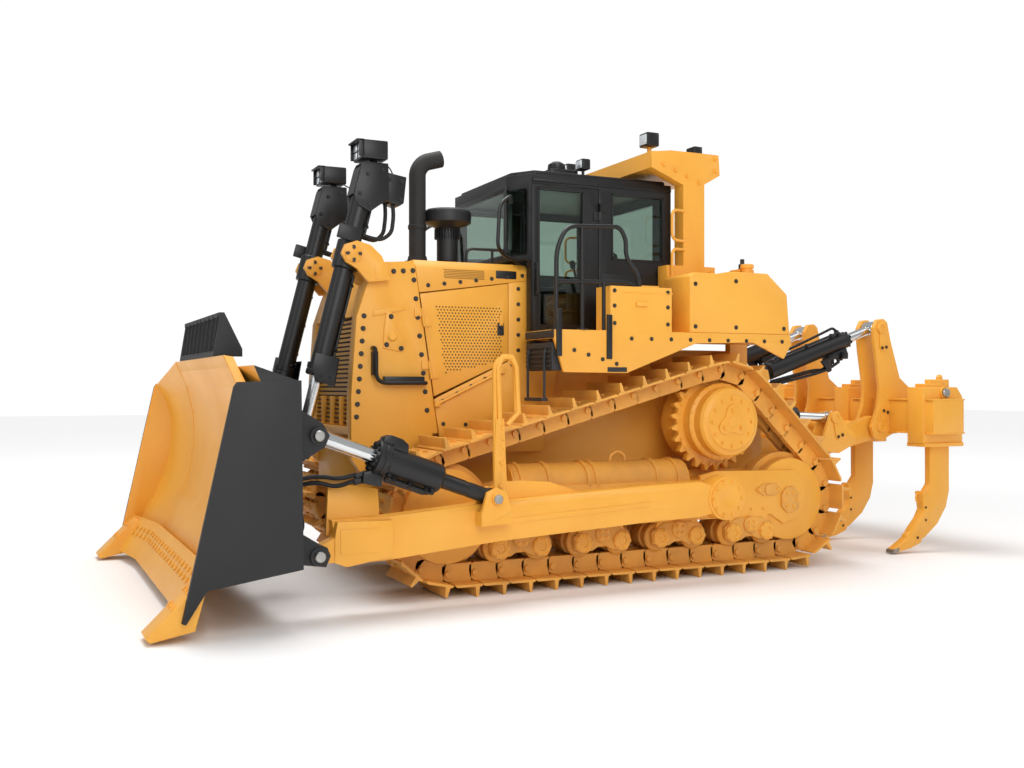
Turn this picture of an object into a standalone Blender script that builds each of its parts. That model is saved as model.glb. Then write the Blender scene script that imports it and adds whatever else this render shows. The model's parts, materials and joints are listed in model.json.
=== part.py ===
"""Track-type bulldozer with a semi-U blade and a three-shank parallelogram ripper.

Metres, +X forward, +Y to the machine's left, +Z up. Shapes are written in machine
stations: x = 0 is a plane across the cab, 0.66 m ahead of the sprocket shaft, and
z = 0 is the ground. The empty "datum" carries every piece and puts the middle of
the machine's length over the origin.
"""
import math

import bmesh
import bpy
from mathutils import Matrix, Vector
from mathutils.geometry import tessellate_polygon

# ---------------------------------------------------------------- driving dimensions
GAP = 0.0003            # between two pieces that rest on each other

# undercarriage
TRACK_GAUGE = 2.25      # between the track centre lines
SHOE_WIDTH = 0.61
TRACK_PITCH = 0.24
TRACK_PHASE = 0.016     # how far the shoes have moved round the loop
GROUSER_HEIGHT = 0.084
SHOE_THICKNESS = 0.02
LINK_OFFSET = 0.095     # of each row of links from the track's centre plane
LINK_WIDTH = 0.07
PIN_RADIUS = 0.4745     # of the pin line round each wheel
PIN_TO_SHOE = 0.0865    # from the pin line out to the shoe's outer face
RAIL_DEPTH = 0.0845     # from the pin line in to the rail's running face
IDLER_SPAN = 3.47       # between the two idler centres, the track on the ground
REAR_IDLER_X = -1.42
SPROCKET_X = -0.661
SPROCKET_RISE = 0.738   # of the sprocket's shaft above the idlers'
SPROCKET_TEETH = 25
HUB_RADIUS = 0.34
HUB_FACE_Y = 1.45
ROLLER_RADIUS = 0.11
ROLLER_COUNT = 8

# hull, hood and guard
HULL_HALF_WIDTH = 0.62
HULL_BOTTOM_Z = 0.60
HULL_TOP_Z = 1.30       # under the engine and the radiator
HOOD_HALF_WIDTH = 0.72
HOOD_REAR_X = 1.045
HOOD_TOP_Z = 2.80
PANEL = 0.035           # thickness of the hood, its sides and doors
GUARD_FRONT_X = 2.684

# cab
CAB_HALF_WIDTH = 0.85
CAB_REAR_X = -0.393
CAB_DOOR_FRONT_X = 1.076
CAB_FRONT_X = 1.21
CAB_FLOOR_Z = 2.06
CAB_ROOF_Z = 3.60
CAB_WALL = 0.05
GLASS = 0.008
ROPS_TOP_Z = 3.90
HINGE_RADIUS = 0.013    # knuckles of the cab and engine doors
HINGE_OUT = 0.017       # of a hinge's axis from the panel's face

# platform
DECK_HALF_WIDTH = 1.45
DECK_INNER_Y = 0.87
DECK_TOP_Z = 2.185
DECK_POSTS = ((0.25, 0.50), (-1.20, -1.00))     # x of the posts that carry the platforms
RAIL_RADIUS = 0.019

# blade
BLADE_WIDTH = 4.31
BLADE_TIP_X = 4.4825    # foremost point of the end bits
TRUNNION = (-0.369, 0.735)
ARM_Y = 1.78            # centre plane of the push arms at the blade
ARM_PIN = (3.269, 0.483)
TILT_ROD_PIN = (3.276, 1.35)
TILT_BARREL_PIN = (1.87, 0.836)
BLADE_PIN_RADIUS = 0.035
BALL_RADIUS = 0.085     # of the trunnion that each arm turns on
CLEVIS_GAP = 0.13       # between the two plates that hold an eye
CLEVIS_PLATE = 0.04
ROD_GUIDE = 0.06        # of a rod that stays inside its barrel when it is all the way out
LIFT_Y = 0.62
YOKE_GAP = 0.27         # between the two horn plates that hold a lift cylinder
LIFT_YOKE = (2.69, 2.81)
LIFT_PIN = (3.25, 0.60)

# ripper
RIPPER_REAR_X = -3.757  # rearmost point of the shank pockets
LINK_PIN = (-1.95, 0.97)
BEAM_PIN = (-3.137, 1.276)
EAR_PIN = (-3.136, 2.327)
BEAM_WIDTH = 2.64
SHANK_SPACING = 1.10
SHANK_THICKNESS = 0.077
SHANK_FRONT_X = -3.377
SHANK_REAR_X = -3.645
TIP_Y = 0.5525
TIP_BARREL_PIN = (-1.60, 1.80)
RIPPER_LIFT_Y = 0.715
RIPPER_LIFT_BARREL_PIN = (-1.25, 1.44)
RIPPER_LIFT_PIN = (-2.414, 1.384)
RIPPER_EYE = 0.09       # width of the ripper lift cylinders' eyes
LINK_INNER_Y = 0.50     # inner face of the lower link's arms
LINK_PIN_RADIUS = 0.055

IDLER_Z = PIN_RADIUS + PIN_TO_SHOE + GROUSER_HEIGHT
TRACK_Y = TRACK_GAUGE / 2
TRACK_WHEELS = (
    (REAR_IDLER_X, IDLER_Z),
    (REAR_IDLER_X + IDLER_SPAN, IDLER_Z),
    (SPROCKET_X, IDLER_Z + SPROCKET_RISE),
)

YELLOW = "E8A31C"
DARK = "2B2C2E"
STEEL = "8B8F94"


# ---------------------------------------------------------------- shapes
def new_mesh(points, faces):
    """A mesh of these points and faces, with every face turned outwards."""
    mesh = bmesh.new()
    made = [mesh.verts.new(point) for point in points]
    for face in faces:
        mesh.faces.new([made[i] for i in face])
    bmesh.ops.recalc_face_normals(mesh, faces=mesh.faces)
    return mesh


def prism(outline, start, end, axis="Y"):
    """A closed outline pushed along one axis: (x, z) along Y, (y, z) along X, (x, y) along Z."""
    order = {"X": (2, 0, 1), "Y": (0, 2, 1), "Z": (0, 1, 2)}[axis]
    count = len(outline)
    points = []
    for level in (start, end):
        for u, v in outline:
            flat = (u, v, level)
            points.append(Vector([flat[i] for i in order]))
    caps = tessellate_polygon([[Vector((u, v, 0)) for u, v in outline]])
    faces = [tuple(cap) for cap in caps]
    faces += [tuple(i + count for i in cap) for cap in caps]
    for i in range(count):
        j = (i + 1) % count
        faces.append((i, j, j + count, i + count))
    return new_mesh(points, faces)


def band(cells, start, end):
    """A closed loop of cells along Y: each is (outer points, two inner points) in (x, z)."""
    points, faces, places = [], [], []
    for outer, inner in cells:
        first = len(points)
        flat = list(outer) + [inner[1], inner[0]]
        points += [(x, start, z) for x, z in flat] + [(x, end, z) for x, z in flat]
        places.append((first, len(outer), len(flat)))
        near = list(range(first, first + len(flat)))
        far = [i + len(flat) for i in near]
        faces += [near, far]
        for i in range(len(flat)):
            # the sides towards the neighbouring cells stay open
            if i not in (len(outer) - 1, len(flat) - 1):
                faces.append((near[i], near[(i + 1) % len(flat)], far[(i + 1) % len(flat)], far[i]))
    for k, (first, top, count) in enumerate(places):
        after, _, after_count = places[(k + 1) % len(places)]
        outer_here, inner_here = first + top - 1, first + top
        outer_next, inner_next = after, after + after_count - 1
        faces.append((outer_here, outer_next, inner_next, inner_here))
        faces.append((outer_here + count, outer_next + after_count, inner_next + after_count,
                      inner_here + count))
        faces.append((outer_here, outer_next, outer_next + after_count, outer_here + count))
        faces.append((inner_here, inner_next, inner_next + after_count, inner_here + count))
    return new_mesh(points, faces)


def box(x0, x1, y0, y1, z0, z1):
    return prism([(x0, y0), (x1, y0), (x1, y1), (x0, y1)], z0, z1, "Z")


def direction_frame(along):
    """Two unit vectors square to this one."""
    side = Vector((0, 1, 0)) if abs(along.y) < 0.9 else Vector((1, 0, 0))
    side = (side - along * side.dot(along)).normalized()
    return side, along.cross(side)


def turned(profile, base, along, sides=20):
    """A turned solid: (radius, distance) pairs from base, in the direction of along."""
    base = Vector(base)
    along = Vector(along).normalized()
    side, up = direction_frame(along)
    points, rings = [], []
    for radius, distance in profile:
        centre = base + along * distance
        first = len(points)
        if radius == 0:
            points.append(centre)
            rings.append([first] * sides)
            continue
        for i in range(sides):
            angle = 2 * math.pi * i / sides
            points.append(centre + side * radius * math.cos(angle) + up * radius * math.sin(angle))
        rings.append(list(range(first, first + sides)))
    faces = []
    for ring, after in zip(rings, rings[1:] + rings[:1]):
        for i in range(sides):
            j = (i + 1) % sides
            face = list(dict.fromkeys((ring[i], ring[j], after[j], after[i])))
            if len(face) > 2:
                faces.append(face)
    return new_mesh(points, faces)


def bar(start, end, radius, sides=14):
    """A solid round bar between two points."""
    start, end = Vector(start), Vector(end)
    side, up = direction_frame((end - start).normalized())
    points = []
    for middle in (start, end):
        for i in range(sides):
            angle = 2 * math.pi * i / sides
            points.append(middle + (side * math.cos(angle) + up * math.sin(angle)) * radius)
    faces = [list(range(sides)), list(range(sides, 2 * sides))]
    for i in range(sides):
        j = (i + 1) % sides
        faces.append((i, j, j + sides, i + sides))
    return new_mesh(points, faces)


def pipe(route, radius, sides=8):
    """A round pipe through these points, mitred at each bend."""
    route = [Vector(point) for point in route]
    points, faces = [], []
    side = None
    for i, here in enumerate(route):
        before = (here - route[i - 1]).normalized() if i else None
        after = (route[i + 1] - here).normalized() if i + 1 < len(route) else None
        run = before or after
        if side is None:
            side, _ = direction_frame(run)
        side = (side - run * side.dot(run)).normalized()
        up = run.cross(side)
        plane = ((before or after) + (after or before)).normalized()
        for k in range(sides):
            angle = 2 * math.pi * k / sides
            spoke = (side * math.cos(angle) + up * math.sin(angle)) * radius
            spoke -= run * (spoke.dot(plane) / run.dot(plane))
            points.append(here + spoke)
        if i:
            for k in range(sides):
                j = (k + 1) % sides
                low, high = (i - 1) * sides, i * sides
                faces.append((low + k, low + j, high + j, high + k))
    faces.append(list(range(sides)))
    faces.append(list(range(len(points) - sides, len(points))))
    return new_mesh(points, faces)


def loft(sections):
    """A solid through like outlines of 3-D points, one after another."""
    count = len(sections[0])
    points = [Vector(point) for section in sections for point in section]
    faces = []
    for k in range(len(sections) - 1):
        for i in range(count):
            j = (i + 1) % count
            low, high = k * count, (k + 1) * count
            faces += [(low + i, low + j, high + j), (low + i, high + j, high + i)]
    for k in (0, len(sections) - 1):
        ends = [Vector(point) for point in sections[k]]
        normal = (ends[1] - ends[0]).cross(ends[2] - ends[0]).normalized()
        side, up = direction_frame(normal)
        flat = [Vector((point.dot(side), point.dot(up), 0)) for point in ends]
        faces += [tuple(i + k * count for i in cap) for cap in tessellate_polygon([flat])]
    return new_mesh(points, faces)


def strut(start, end, width, height):
    """A square bar from point to point; width is across, height is square to it."""
    start, end = Vector(start), Vector(end)
    along = (end - start).normalized()
    side, up = direction_frame(along)
    side, up = side * width / 2, up * height / 2
    ring = [-side - up, side - up, side + up, -side + up]
    return loft([[start + corner for corner in ring], [end + corner for corner in ring]])


def eye(pin, radius, y, width, sides=14):
    """The boss round a cross pin at (x, z)."""
    return bar((pin[0], y - width / 2, pin[1]), (pin[0], y + width / 2, pin[1]), radius, sides)


def bore(pin, radius, y, width, sides=24):
    """The hole in which a pin of this radius turns."""
    return eye(pin, (radius + GAP) / math.cos(math.pi / sides), y, width, sides)


def clevis_plates(y, gap=None, plate=None):
    """Both plates of a clevis centred on y, as stretches of y."""
    gap, plate = gap or CLEVIS_GAP, plate or CLEVIS_PLATE
    return (y - gap / 2 - plate, y - gap / 2), (y + gap / 2, y + gap / 2 + plate)


def between(start, end, distance):
    """The point this far from start towards end, in the (x, z) plane."""
    length = math.dist(start, end)
    return tuple(a + (b - a) * distance / length for a, b in zip(start, end))


def at_y(point, y):
    return (point[0], y, point[1])


# ---------------------------------------------------------------- assembly
def clear_scene():
    for old in list(bpy.data.objects):
        bpy.data.objects.remove(old, do_unlink=True)


def paint(name, colour, roughness=0.45, metallic=0.0, alpha=1.0):
    """A material from an sRGB hex colour."""
    material = bpy.data.materials.new(name)
    material.use_nodes = True
    shader = material.node_tree.nodes["Principled BSDF"]
    linear = [int(colour[i:i + 2], 16) / 255 for i in (0, 2, 4)]
    linear = [c / 12.92 if c <= 0.04045 else ((c + 0.055) / 1.055) ** 2.4 for c in linear]
    shader.inputs["Base Color"].default_value = (*linear, 1)
    shader.inputs["Roughness"].default_value = roughness
    shader.inputs["Metallic"].default_value = metallic
    shader.inputs["Alpha"].default_value = alpha
    return material


def helper(mesh):
    """A hidden object that lends its shape to a Boolean."""
    data = bpy.data.meshes.new("helper")
    mesh.to_mesh(data)
    mesh.free()
    made = bpy.data.objects.new("helper", data)
    made.hide_render = True
    made.display_type = "WIRE"
    bpy.context.scene.collection.objects.link(made)
    return made


def piece(name, look, solids, cuts=(), pivot=(0, 0, 0)):
    """One sub-part: its solids joined, its cuts taken out, its origin on its pivot."""
    solids = [helper(mesh) for mesh in solids]
    cuts = [helper(mesh) for mesh in cuts]
    base = solids[0]
    steps = [(other, "UNION") for other in solids[1:]] + [(other, "DIFFERENCE") for other in cuts]
    for other, operation in steps:
        step = base.modifiers.new(operation.title(), "BOOLEAN")
        step.operation = operation
        step.solver = "EXACT"
        step.object = other
    graph = bpy.context.evaluated_depsgraph_get()
    data = bpy.data.meshes.new_from_object(base.evaluated_get(graph))
    for used in solids + cuts:
        bpy.data.objects.remove(used, do_unlink=True)
    data.name = name
    data.transform(Matrix.Translation(-Vector(pivot)))
    data.materials.clear()
    data.materials.append(look)
    data.shade_smooth()
    data.set_sharp_from_angle(angle=math.radians(30))
    made = bpy.data.objects.new(name, data)
    made.location = pivot
    made.parent = datum
    bpy.context.scene.collection.objects.link(made)
    return made


def span(side, near, far):
    """A stretch of y on one side of the machine, lower end first."""
    return sorted((side * near, side * far))


def hand(side):
    return "L" if side > 0 else "R"


# ---------------------------------------------------------------- undercarriage
def track_loop():
    """Arcs and runs of the pin line, counter-clockwise in (x, z)."""
    stretches = []
    wheels = [Vector(wheel) for wheel in TRACK_WHEELS]
    for i, wheel in enumerate(wheels):
        before, after = wheels[i - 1], wheels[(i + 1) % 3]
        leave = after - wheel
        arrive = wheel - before
        first = math.atan2(arrive.y, arrive.x) - math.pi / 2
        last = math.atan2(leave.y, leave.x) - math.pi / 2
        turn = (last - first) % (2 * math.pi)
        stretches.append(("arc", wheel, first, turn))
        stretches.append(("run", wheel, last, leave.length))
    return stretches


def along_track(stretches, distance):
    """Point of the pin line at this distance round it."""
    for kind, wheel, angle, size in stretches:
        length = size * PIN_RADIUS if kind == "arc" else size
        if distance <= length:
            break
        distance -= length
    if kind == "arc":
        angle += distance / PIN_RADIUS
        distance = 0
    outward = Vector((math.cos(angle), math.sin(angle)))
    forward = Vector((-outward.y, outward.x))
    return wheel + outward * PIN_RADIUS + forward * distance


def track_length(stretches):
    return sum(size * PIN_RADIUS if kind == "arc" else size for kind, _, _, size in stretches)


def shoe_cells(stretches, shoes):
    """A flat shoe at each pitch, its grouser near one end."""
    total = track_length(stretches)
    half = TRACK_PITCH * 0.49
    root, foot = -0.073, 0.018
    pins = [along_track(stretches, (total * i / shoes + TRACK_PHASE) % total) for i in range(shoes)]
    cells = []
    straight = None
    for here, after in zip(pins, pins[1:] + pins[:1]):
        middle, forward = (here + after) / 2, (after - here).normalized()
        outward = Vector((forward.y, -forward.x))
        face = middle + outward * PIN_TO_SHOE
        crest = face + outward * GROUSER_HEIGHT
        under = face - outward * SHOE_THICKNESS
        outer = ((face, -half), (face, root - foot), (crest, root), (face, root + foot), (face, half))
        outer = [tuple(base + forward * where) for base, where in outer]
        inner = [tuple(under - forward * half), tuple(under + forward * half)]
        if straight and straight.dot(forward) > 0.999999:
            # shoes on one straight run share a cell
            cells[-1][0].extend(outer)
            cells[-1][1][1] = inner[1]
        else:
            cells.append((outer, inner))
        straight = forward
    return cells


def rail_cells(stretches, inner, outer, steps=11):
    """One row of links between two offsets from the pin line."""
    rays = []
    for kind, wheel, angle, size in stretches:
        if kind == "run":
            continue
        for k in range(steps + 1):
            outward = Vector((math.cos(angle + size * k / steps), math.sin(angle + size * k / steps)))
            rays.append((tuple(wheel + outward * (PIN_RADIUS + inner)),
                         tuple(wheel + outward * (PIN_RADIUS + outer))))
    pairs = zip(rays[0::2], rays[1::2])
    return [([here[1], after[1]], [here[0], after[0]]) for here, after in pairs]


def track(side):
    stretches = track_loop()
    shoes = round(track_length(stretches) / TRACK_PITCH)
    half = SHOE_WIDTH / 2
    solids = [band(shoe_cells(stretches, shoes), *span(side, TRACK_Y - half, TRACK_Y + half))]
    cells = rail_cells(stretches, -RAIL_DEPTH, PIN_TO_SHOE - SHOE_THICKNESS / 2)
    for centre in (TRACK_Y - LINK_OFFSET, TRACK_Y + LINK_OFFSET):
        solids.append(band(cells, *span(side, centre - LINK_WIDTH / 2, centre + LINK_WIDTH / 2)))
    piece(f"track_{hand(side)}", paint("track_paint", YELLOW), solids)


def track_frame(side):
    """Roller frame with its recoil tube, both idlers and the rollers, in one piece."""
    y = side * TRACK_Y
    front_x = REAR_IDLER_X + IDLER_SPAN
    rail_z = IDLER_Z - PIN_RADIUS + RAIL_DEPTH
    roller_z = rail_z + ROLLER_RADIUS + GAP
    idler = PIN_RADIUS - RAIL_DEPTH - 0.006
    solids = [box(-1.05, 1.30, *span(side, TRACK_Y - 0.20, TRACK_Y + 0.20), 0.50, 0.86)]
    solids.append(bar((-0.30, y, 0.86), (1.46, y, 0.86), 0.18))
    solids.append(bar((1.40, y, 0.80), (1.62, y, 0.76), 0.13))
    for plate in (-0.185, 0.185):
        low, high = TRACK_Y + plate - 0.02, TRACK_Y + plate + 0.02
        rear = [(-0.40, 0.50), (-1.18, 0.515), (-1.33, 0.42), (-1.50, 0.47), (-1.60, 0.62), (-1.56, 0.80),
                (-1.463, 0.916), (-0.565, 0.935), (-0.40, 0.90)]
        solids.append(prism(rear, *span(side, low, high)))
        front = [(1.25, 0.52), (1.90, 0.55), (2.16, 0.56), (2.20, 0.645), (2.16, 0.73), (1.90, 0.76),
                 (1.25, 0.84)]
        solids.append(prism(front, *span(side, low, high)))
        for k in range(ROLLER_COUNT // 2):
            x = -0.93 + k * 0.78
            bogie = [(x - 0.26, roller_z - 0.045), (x + 0.26, roller_z - 0.045), (x + 0.20, 0.54),
                     (x - 0.20, 0.54)]
            solids.append(prism(bogie, *span(side, low, high)))
    for x in (REAR_IDLER_X, front_x):
        solids.append(eye((x, IDLER_Z), idler, y, 0.35, 28))
    for k in range(ROLLER_COUNT // 2):
        for offset in (-0.19, 0.19):
            x = -0.93 + k * 0.78 + offset
            solids.append(eye((x, roller_z), ROLLER_RADIUS, y, 0.35, 12))
    # the trunnion ball stands out of the frame, under the push arm's cap
    solids.append(eye(TRUNNION, BALL_RADIUS, side * 1.42, 0.36))
    solids.append(box(-0.62, -0.12, *span(side, TRACK_Y + 0.10, 1.40), 0.58, 0.86))
    piece(f"track_frame_{hand(side)}", paint("frame_paint", YELLOW), solids)


def final_drive(side):
    """Sprocket ring and the planetary hub outside it."""
    x, z = TRACK_WHEELS[2]
    y = side * TRACK_Y
    ring = []
    root, crest = PIN_RADIUS - 0.075, PIN_RADIUS - 0.012
    for k in range(SPROCKET_TEETH):
        for radius, part in ((root, 0.05), (crest, 0.36), (crest, 0.60), (root, 0.91)):
            angle = 2 * math.pi * (k + part) / SPROCKET_TEETH
            ring.append((x + radius * math.cos(angle), z + radius * math.sin(angle)))
    solids = [prism(ring, y - 0.038, y + 0.038)]
    solids.append(turned(
        [(0, 0), (0.30, 0), (0.35, 0.10), (0.35, 0.36), (HUB_RADIUS, 0.38), (HUB_RADIUS, 0.60),
         (HUB_RADIUS - 0.03, HUB_FACE_Y - 0.82), (0.12, HUB_FACE_Y - 0.80), (0, HUB_FACE_Y - 0.80)],
        (x, side * 0.82, z), (0, side, 0), 24))
    solids.append(bar((x, side * (HULL_HALF_WIDTH + GAP), z), (x, side * 0.85, z), 0.24))
    piece(f"final_drive_{hand(side)}", paint("drive_paint", YELLOW), solids)


# ---------------------------------------------------------------- hull
def main_frame():
    half = HULL_HALF_WIDTH
    outline = [(2.60, 0.80), (2.62, HULL_TOP_Z), (1.02, HULL_TOP_Z), (0.60, CAB_FLOOR_Z - GAP),
               (-1.25, CAB_FLOOR_Z - GAP),
               (-1.45, 1.95), (-1.45, 1.60), (-1.62, 1.50),
               (-1.62, 0.80), (-1.40, HULL_BOTTOM_Z), (2.30, HULL_BOTTOM_Z)]
    solids = [prism(outline, -half, half)]
    # pivot shaft and equaliser bar carry the roller frames
    solids.append(bar((-0.05, -TRACK_Y + 0.2 + GAP, 0.80), (-0.05, TRACK_Y - 0.2 - GAP, 0.80), 0.12))
    solids.append(strut((1.02, -TRACK_Y + 0.2 + GAP, 0.72), (1.02, TRACK_Y - 0.2 - GAP, 0.72), 0.20, 0.16))
    for side in (1, -1):
        bracket = [(-1.45, 0.78), (-1.90, 0.80), (-2.03, 0.90), (-2.05, 1.00), (-1.97, 1.09), (-1.75, 1.18),
                   (-1.45, 1.20)]
        solids.append(prism(bracket, *span(side, 0.40, LINK_INNER_Y)))
        top = [(-1.40, 1.62), (-1.62, 1.68), (-1.70, 1.78), (-1.68, 1.87), (-1.58, 1.90), (-1.40, 1.92)]
        for leaf in clevis_plates(TIP_Y):
            solids.append(prism(top, *span(side, *leaf)))
        # ear of the ripper's lift cylinder
        ear = [(-1.05, 1.36), (-1.27, 1.36), (-1.33, 1.44), (-1.27, 1.52), (-1.05, 1.52)]
        solids.append(prism(ear, *span(side, half - 0.02, RIPPER_LIFT_Y - RIPPER_EYE / 2 - GAP)))
        # deck posts under the fenders
        for x0, x1 in DECK_POSTS:
            solids.append(box(x0, x1, *span(side, half - 0.02, DECK_INNER_Y - GAP), 1.95, 2.04))
    piece("main_frame", paint("hull_paint", YELLOW), solids)


def engine():
    solids = [box(1.06, 1.85, -0.40, 0.40, HULL_TOP_Z + GAP, 2.30),
              box(1.10, 1.78, -0.22, 0.22, 2.25, 2.60)]
    piece("engine", paint("engine_paint", YELLOW), solids)


SEAM_FOOT = (1.95, 1.601)       # foot of the seam between the engine door and the guard
SEAM_LEAN = 0.1456              # forward lean of that seam for each metre up
SEAM_GAP = 0.004
ENGINE_HINGES = (1.85, 2.30)    # height where the two halves of each hinge meet


def seam_x(z):
    return SEAM_FOOT[0] + (z - SEAM_FOOT[1]) * SEAM_LEAN


def seam_knuckles(side, start, end, leaf_start, leaf_end):
    """Half hinges on the seam: start and end are heights from where the two halves meet."""
    solids = []
    y = HOOD_HALF_WIDTH + HINGE_OUT
    for z in ENGINE_HINGES:
        x = seam_x(z + (start + end) / 2)
        solids.append(bar((seam_x(z + start), side * y, z + start), (seam_x(z + end), side * y, z + end),
                          HINGE_RADIUS, 10))
        solids.append(box(x + leaf_start, x + leaf_end, *span(side, HOOD_HALF_WIDTH - 0.01, y),
                          z + start + 0.004,
                          z + end - 0.004))
    return solids


def radiator_guard():
    half = HOOD_HALF_WIDTH
    low = HULL_TOP_Z + GAP
    rear_low, rear_top = seam_x(low) + SEAM_GAP, seam_x(2.782) + SEAM_GAP
    side_view = [(rear_low, low), (rear_top, 2.782), (2.434, 2.76), (2.49, 2.70), (2.56, 2.521),
                 (2.638, 2.293),
                 (GUARD_FRONT_X, 1.634), (GUARD_FRONT_X, low)]
    apron = [(1.96, 0.98), (1.96, 1.40), (GUARD_FRONT_X, 1.40), (GUARD_FRONT_X, 1.10), (2.60, 0.98)]
    solids = [prism(side_view, -half, half)]
    cuts = [prism([(2.62, 1.36), (2.72, 1.36), (2.66, 2.30), (2.575, 2.30)], -half + 0.14, half - 0.14)]
    for side in (1, -1):
        solids += seam_knuckles(side, GAP * 2, HINGE_LENGTH, SEAM_GAP + 0.004, 0.07)
        solids.append(prism(apron, *span(side, HULL_HALF_WIDTH + GAP, half)))
        horn = [(2.36, 2.60), (2.44, 2.80), (2.54, 2.89), (2.66, 2.92), (2.76, 2.885), (2.79, 2.81),
                (2.75, 2.74),
                (2.66, 2.69), (2.56, 2.58)]
        for leaf in clevis_plates(LIFT_Y, YOKE_GAP):
            solids.append(prism(horn, *span(side, *leaf)))
        solids.append(box(2.40, 2.50, *span(side, 0.44, 0.80), 2.60, 2.74))
    piece("radiator_guard", paint("guard_paint", YELLOW), solids, cuts)


def hood():
    half = HOOD_HALF_WIDTH
    section = [(-half, 2.45), (-half, 2.74), (-half + 0.05, HOOD_TOP_Z), (half - 0.05, HOOD_TOP_Z),
               (half, 2.74),
               (half, 2.45)]
    inside = [(-half + PANEL, 2.4), (-half + PANEL, 2.725), (-half + 0.065, HOOD_TOP_Z - PANEL),
              (half - 0.065, HOOD_TOP_Z - PANEL), (half - PANEL, 2.725), (half - PANEL, 2.4)]
    front = seam_x(2.80) + 0.01
    solids = [prism(section, HOOD_REAR_X, front, "X")]
    cuts = [prism(inside, HOOD_REAR_X + 0.02, front + 0.1, "X")]
    # the front follows the slanted seam, the sides' lower edge the top of the doors
    cuts.append(prism([(seam_x(2.4), 2.4), (2.3, 2.4), (2.3, 2.9), (seam_x(2.9), 2.9)], -1, 1))
    cuts.append(prism([(1.0, 2.3), (2.3, 2.3), (2.3, on_line(HOOD_EDGE, 2.3)),
                       (1.0, on_line(HOOD_EDGE, 1.0))], -1, 1))
    piece("hood", paint("hood_paint", YELLOW), solids, cuts)


DOOR_GAP = 0.006
HOOD_EDGE = ((2.07, 2.516), (1.045, 2.655))     # lower edge of the hood's side
DOOR_SILL = ((1.925, 1.605), (1.225, 1.935))    # lower edge of the engine door


def on_line(line, x):
    """Height of a straight edge at this station."""
    (x0, z0), (x1, z1) = line
    return z0 + (z1 - z0) * (x - x0) / (x1 - x0)


def side_panel(side):
    """Fixed sheet round the engine door, down to the hull."""
    door_rear = 1.235
    front = seam_x(1.12) - SEAM_GAP - 0.01
    outline = [(front, 1.12), (seam_x(1.40) - SEAM_GAP, 1.40), (seam_x(1.59) - SEAM_GAP, 1.59),
               DOOR_SILL[0],
               (door_rear, on_line(DOOR_SILL, door_rear)),
               (door_rear, on_line(HOOD_EDGE, door_rear) - GAP * 2),
               (HOOD_REAR_X, HOOD_EDGE[1][1] - GAP * 2), (HOOD_REAR_X, 2.02), (0.72, 1.98), (0.90, 1.12)]
    solids = [prism(outline, *span(side, HOOD_HALF_WIDTH - PANEL, HOOD_HALF_WIDTH))]
    solids.append(box(1.0, 1.85, *span(side, HULL_HALF_WIDTH + GAP, HOOD_HALF_WIDTH - 0.01), 1.13, 1.26))
    piece(f"side_panel_{hand(side)}", paint("panel_paint", YELLOW), solids)


def engine_door(side):
    hinge = (SEAM_FOOT[0], side * (HOOD_HALF_WIDTH + HINGE_OUT), SEAM_FOOT[1])
    low, high, front, rear = 1.62, 2.505, 0.008, 1.235 + DOOR_GAP
    outline = [(seam_x(low) - front, low), (seam_x(high) - front, high),
               (rear, on_line(HOOD_EDGE, rear) - DOOR_GAP),
               (rear, on_line(DOOR_SILL, rear) + DOOR_GAP + 0.004)]
    solids = [prism(outline, *span(side, HOOD_HALF_WIDTH - PANEL, HOOD_HALF_WIDTH))]
    solids += seam_knuckles(side, -HINGE_LENGTH, 0, -0.07, -front - 0.001)
    handle = [(1.30, 2.24), (1.33, 2.24), (1.33, 2.34), (1.30, 2.34)]
    solids.append(prism(handle, *span(side, HOOD_HALF_WIDTH - 0.01, HOOD_HALF_WIDTH + 0.03)))
    piece(f"engine_door_{hand(side)}", paint("door_paint", YELLOW), solids, pivot=hinge)


def exhaust():
    x, y = 1.99, 0.42
    route = [(x, y, HOOD_TOP_Z + GAP), (x, y, 3.56), (x - 0.03, y, 3.66), (x - 0.21, y, 3.74)]
    solids = [pipe(route, 0.075, 16)]
    solids.append(bar((x, y, HOOD_TOP_Z + GAP), (x, y, HOOD_TOP_Z + 0.05), 0.11))
    piece("exhaust_stack", paint("stack_black", DARK, 0.55), solids)
    x, y = 1.70, 0.41
    profile = [(0, 0), (0.095, 0), (0.095, 0.32), (0.19, 0.36), (0.215, 0.40), (0.215, 0.47), (0.19, 0.50),
               (0, 0.50)]
    piece("air_precleaner", paint("precleaner_black", DARK, 0.6),
          [turned(profile, (x, y, HOOD_TOP_Z + GAP), (0, 0, 1))])


# ---------------------------------------------------------------- cab
def cab_footprint(inset, front):
    """Plan of the cab, inset from its outer face; the front corners are cut when front is True."""
    half, rear, door = CAB_HALF_WIDTH - inset, CAB_REAR_X + inset, CAB_DOOR_FRONT_X
    if front:
        nose, narrow = CAB_FRONT_X - inset, 0.62 - inset * 0.5
        return [(rear, -half), (door - inset * 0.3, -half), (nose, -narrow), (nose, narrow),
                (door - inset * 0.3, half),
                (rear, half)]
    nose, narrow = 1.035 - inset, 0.76
    return [(rear, -half), (door - inset, -half), (door - inset, -narrow), (nose, -narrow), (nose, narrow),
            (door - inset, narrow), (door - inset, half), (rear, half)]


CAB_HINGE_Y = CAB_HALF_WIDTH + HINGE_OUT
CAB_HINGES = (2.40, 3.30)                   # where each pair of knuckles meets
HINGE_LENGTH = 0.08
DOOR = (0.385, 1.070, DECK_TOP_Z + 0.007, 3.511)    # x and z of the cab door's opening, over the deck
DOOR_LITE = (0.539, 1.005, DECK_TOP_Z + 0.075, 3.479)
SIDE_LITE = (-0.313, 0.251, 2.87, 3.48)
REAR_LITE = (0.60, 2.87, 3.45)              # half width and z


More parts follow.
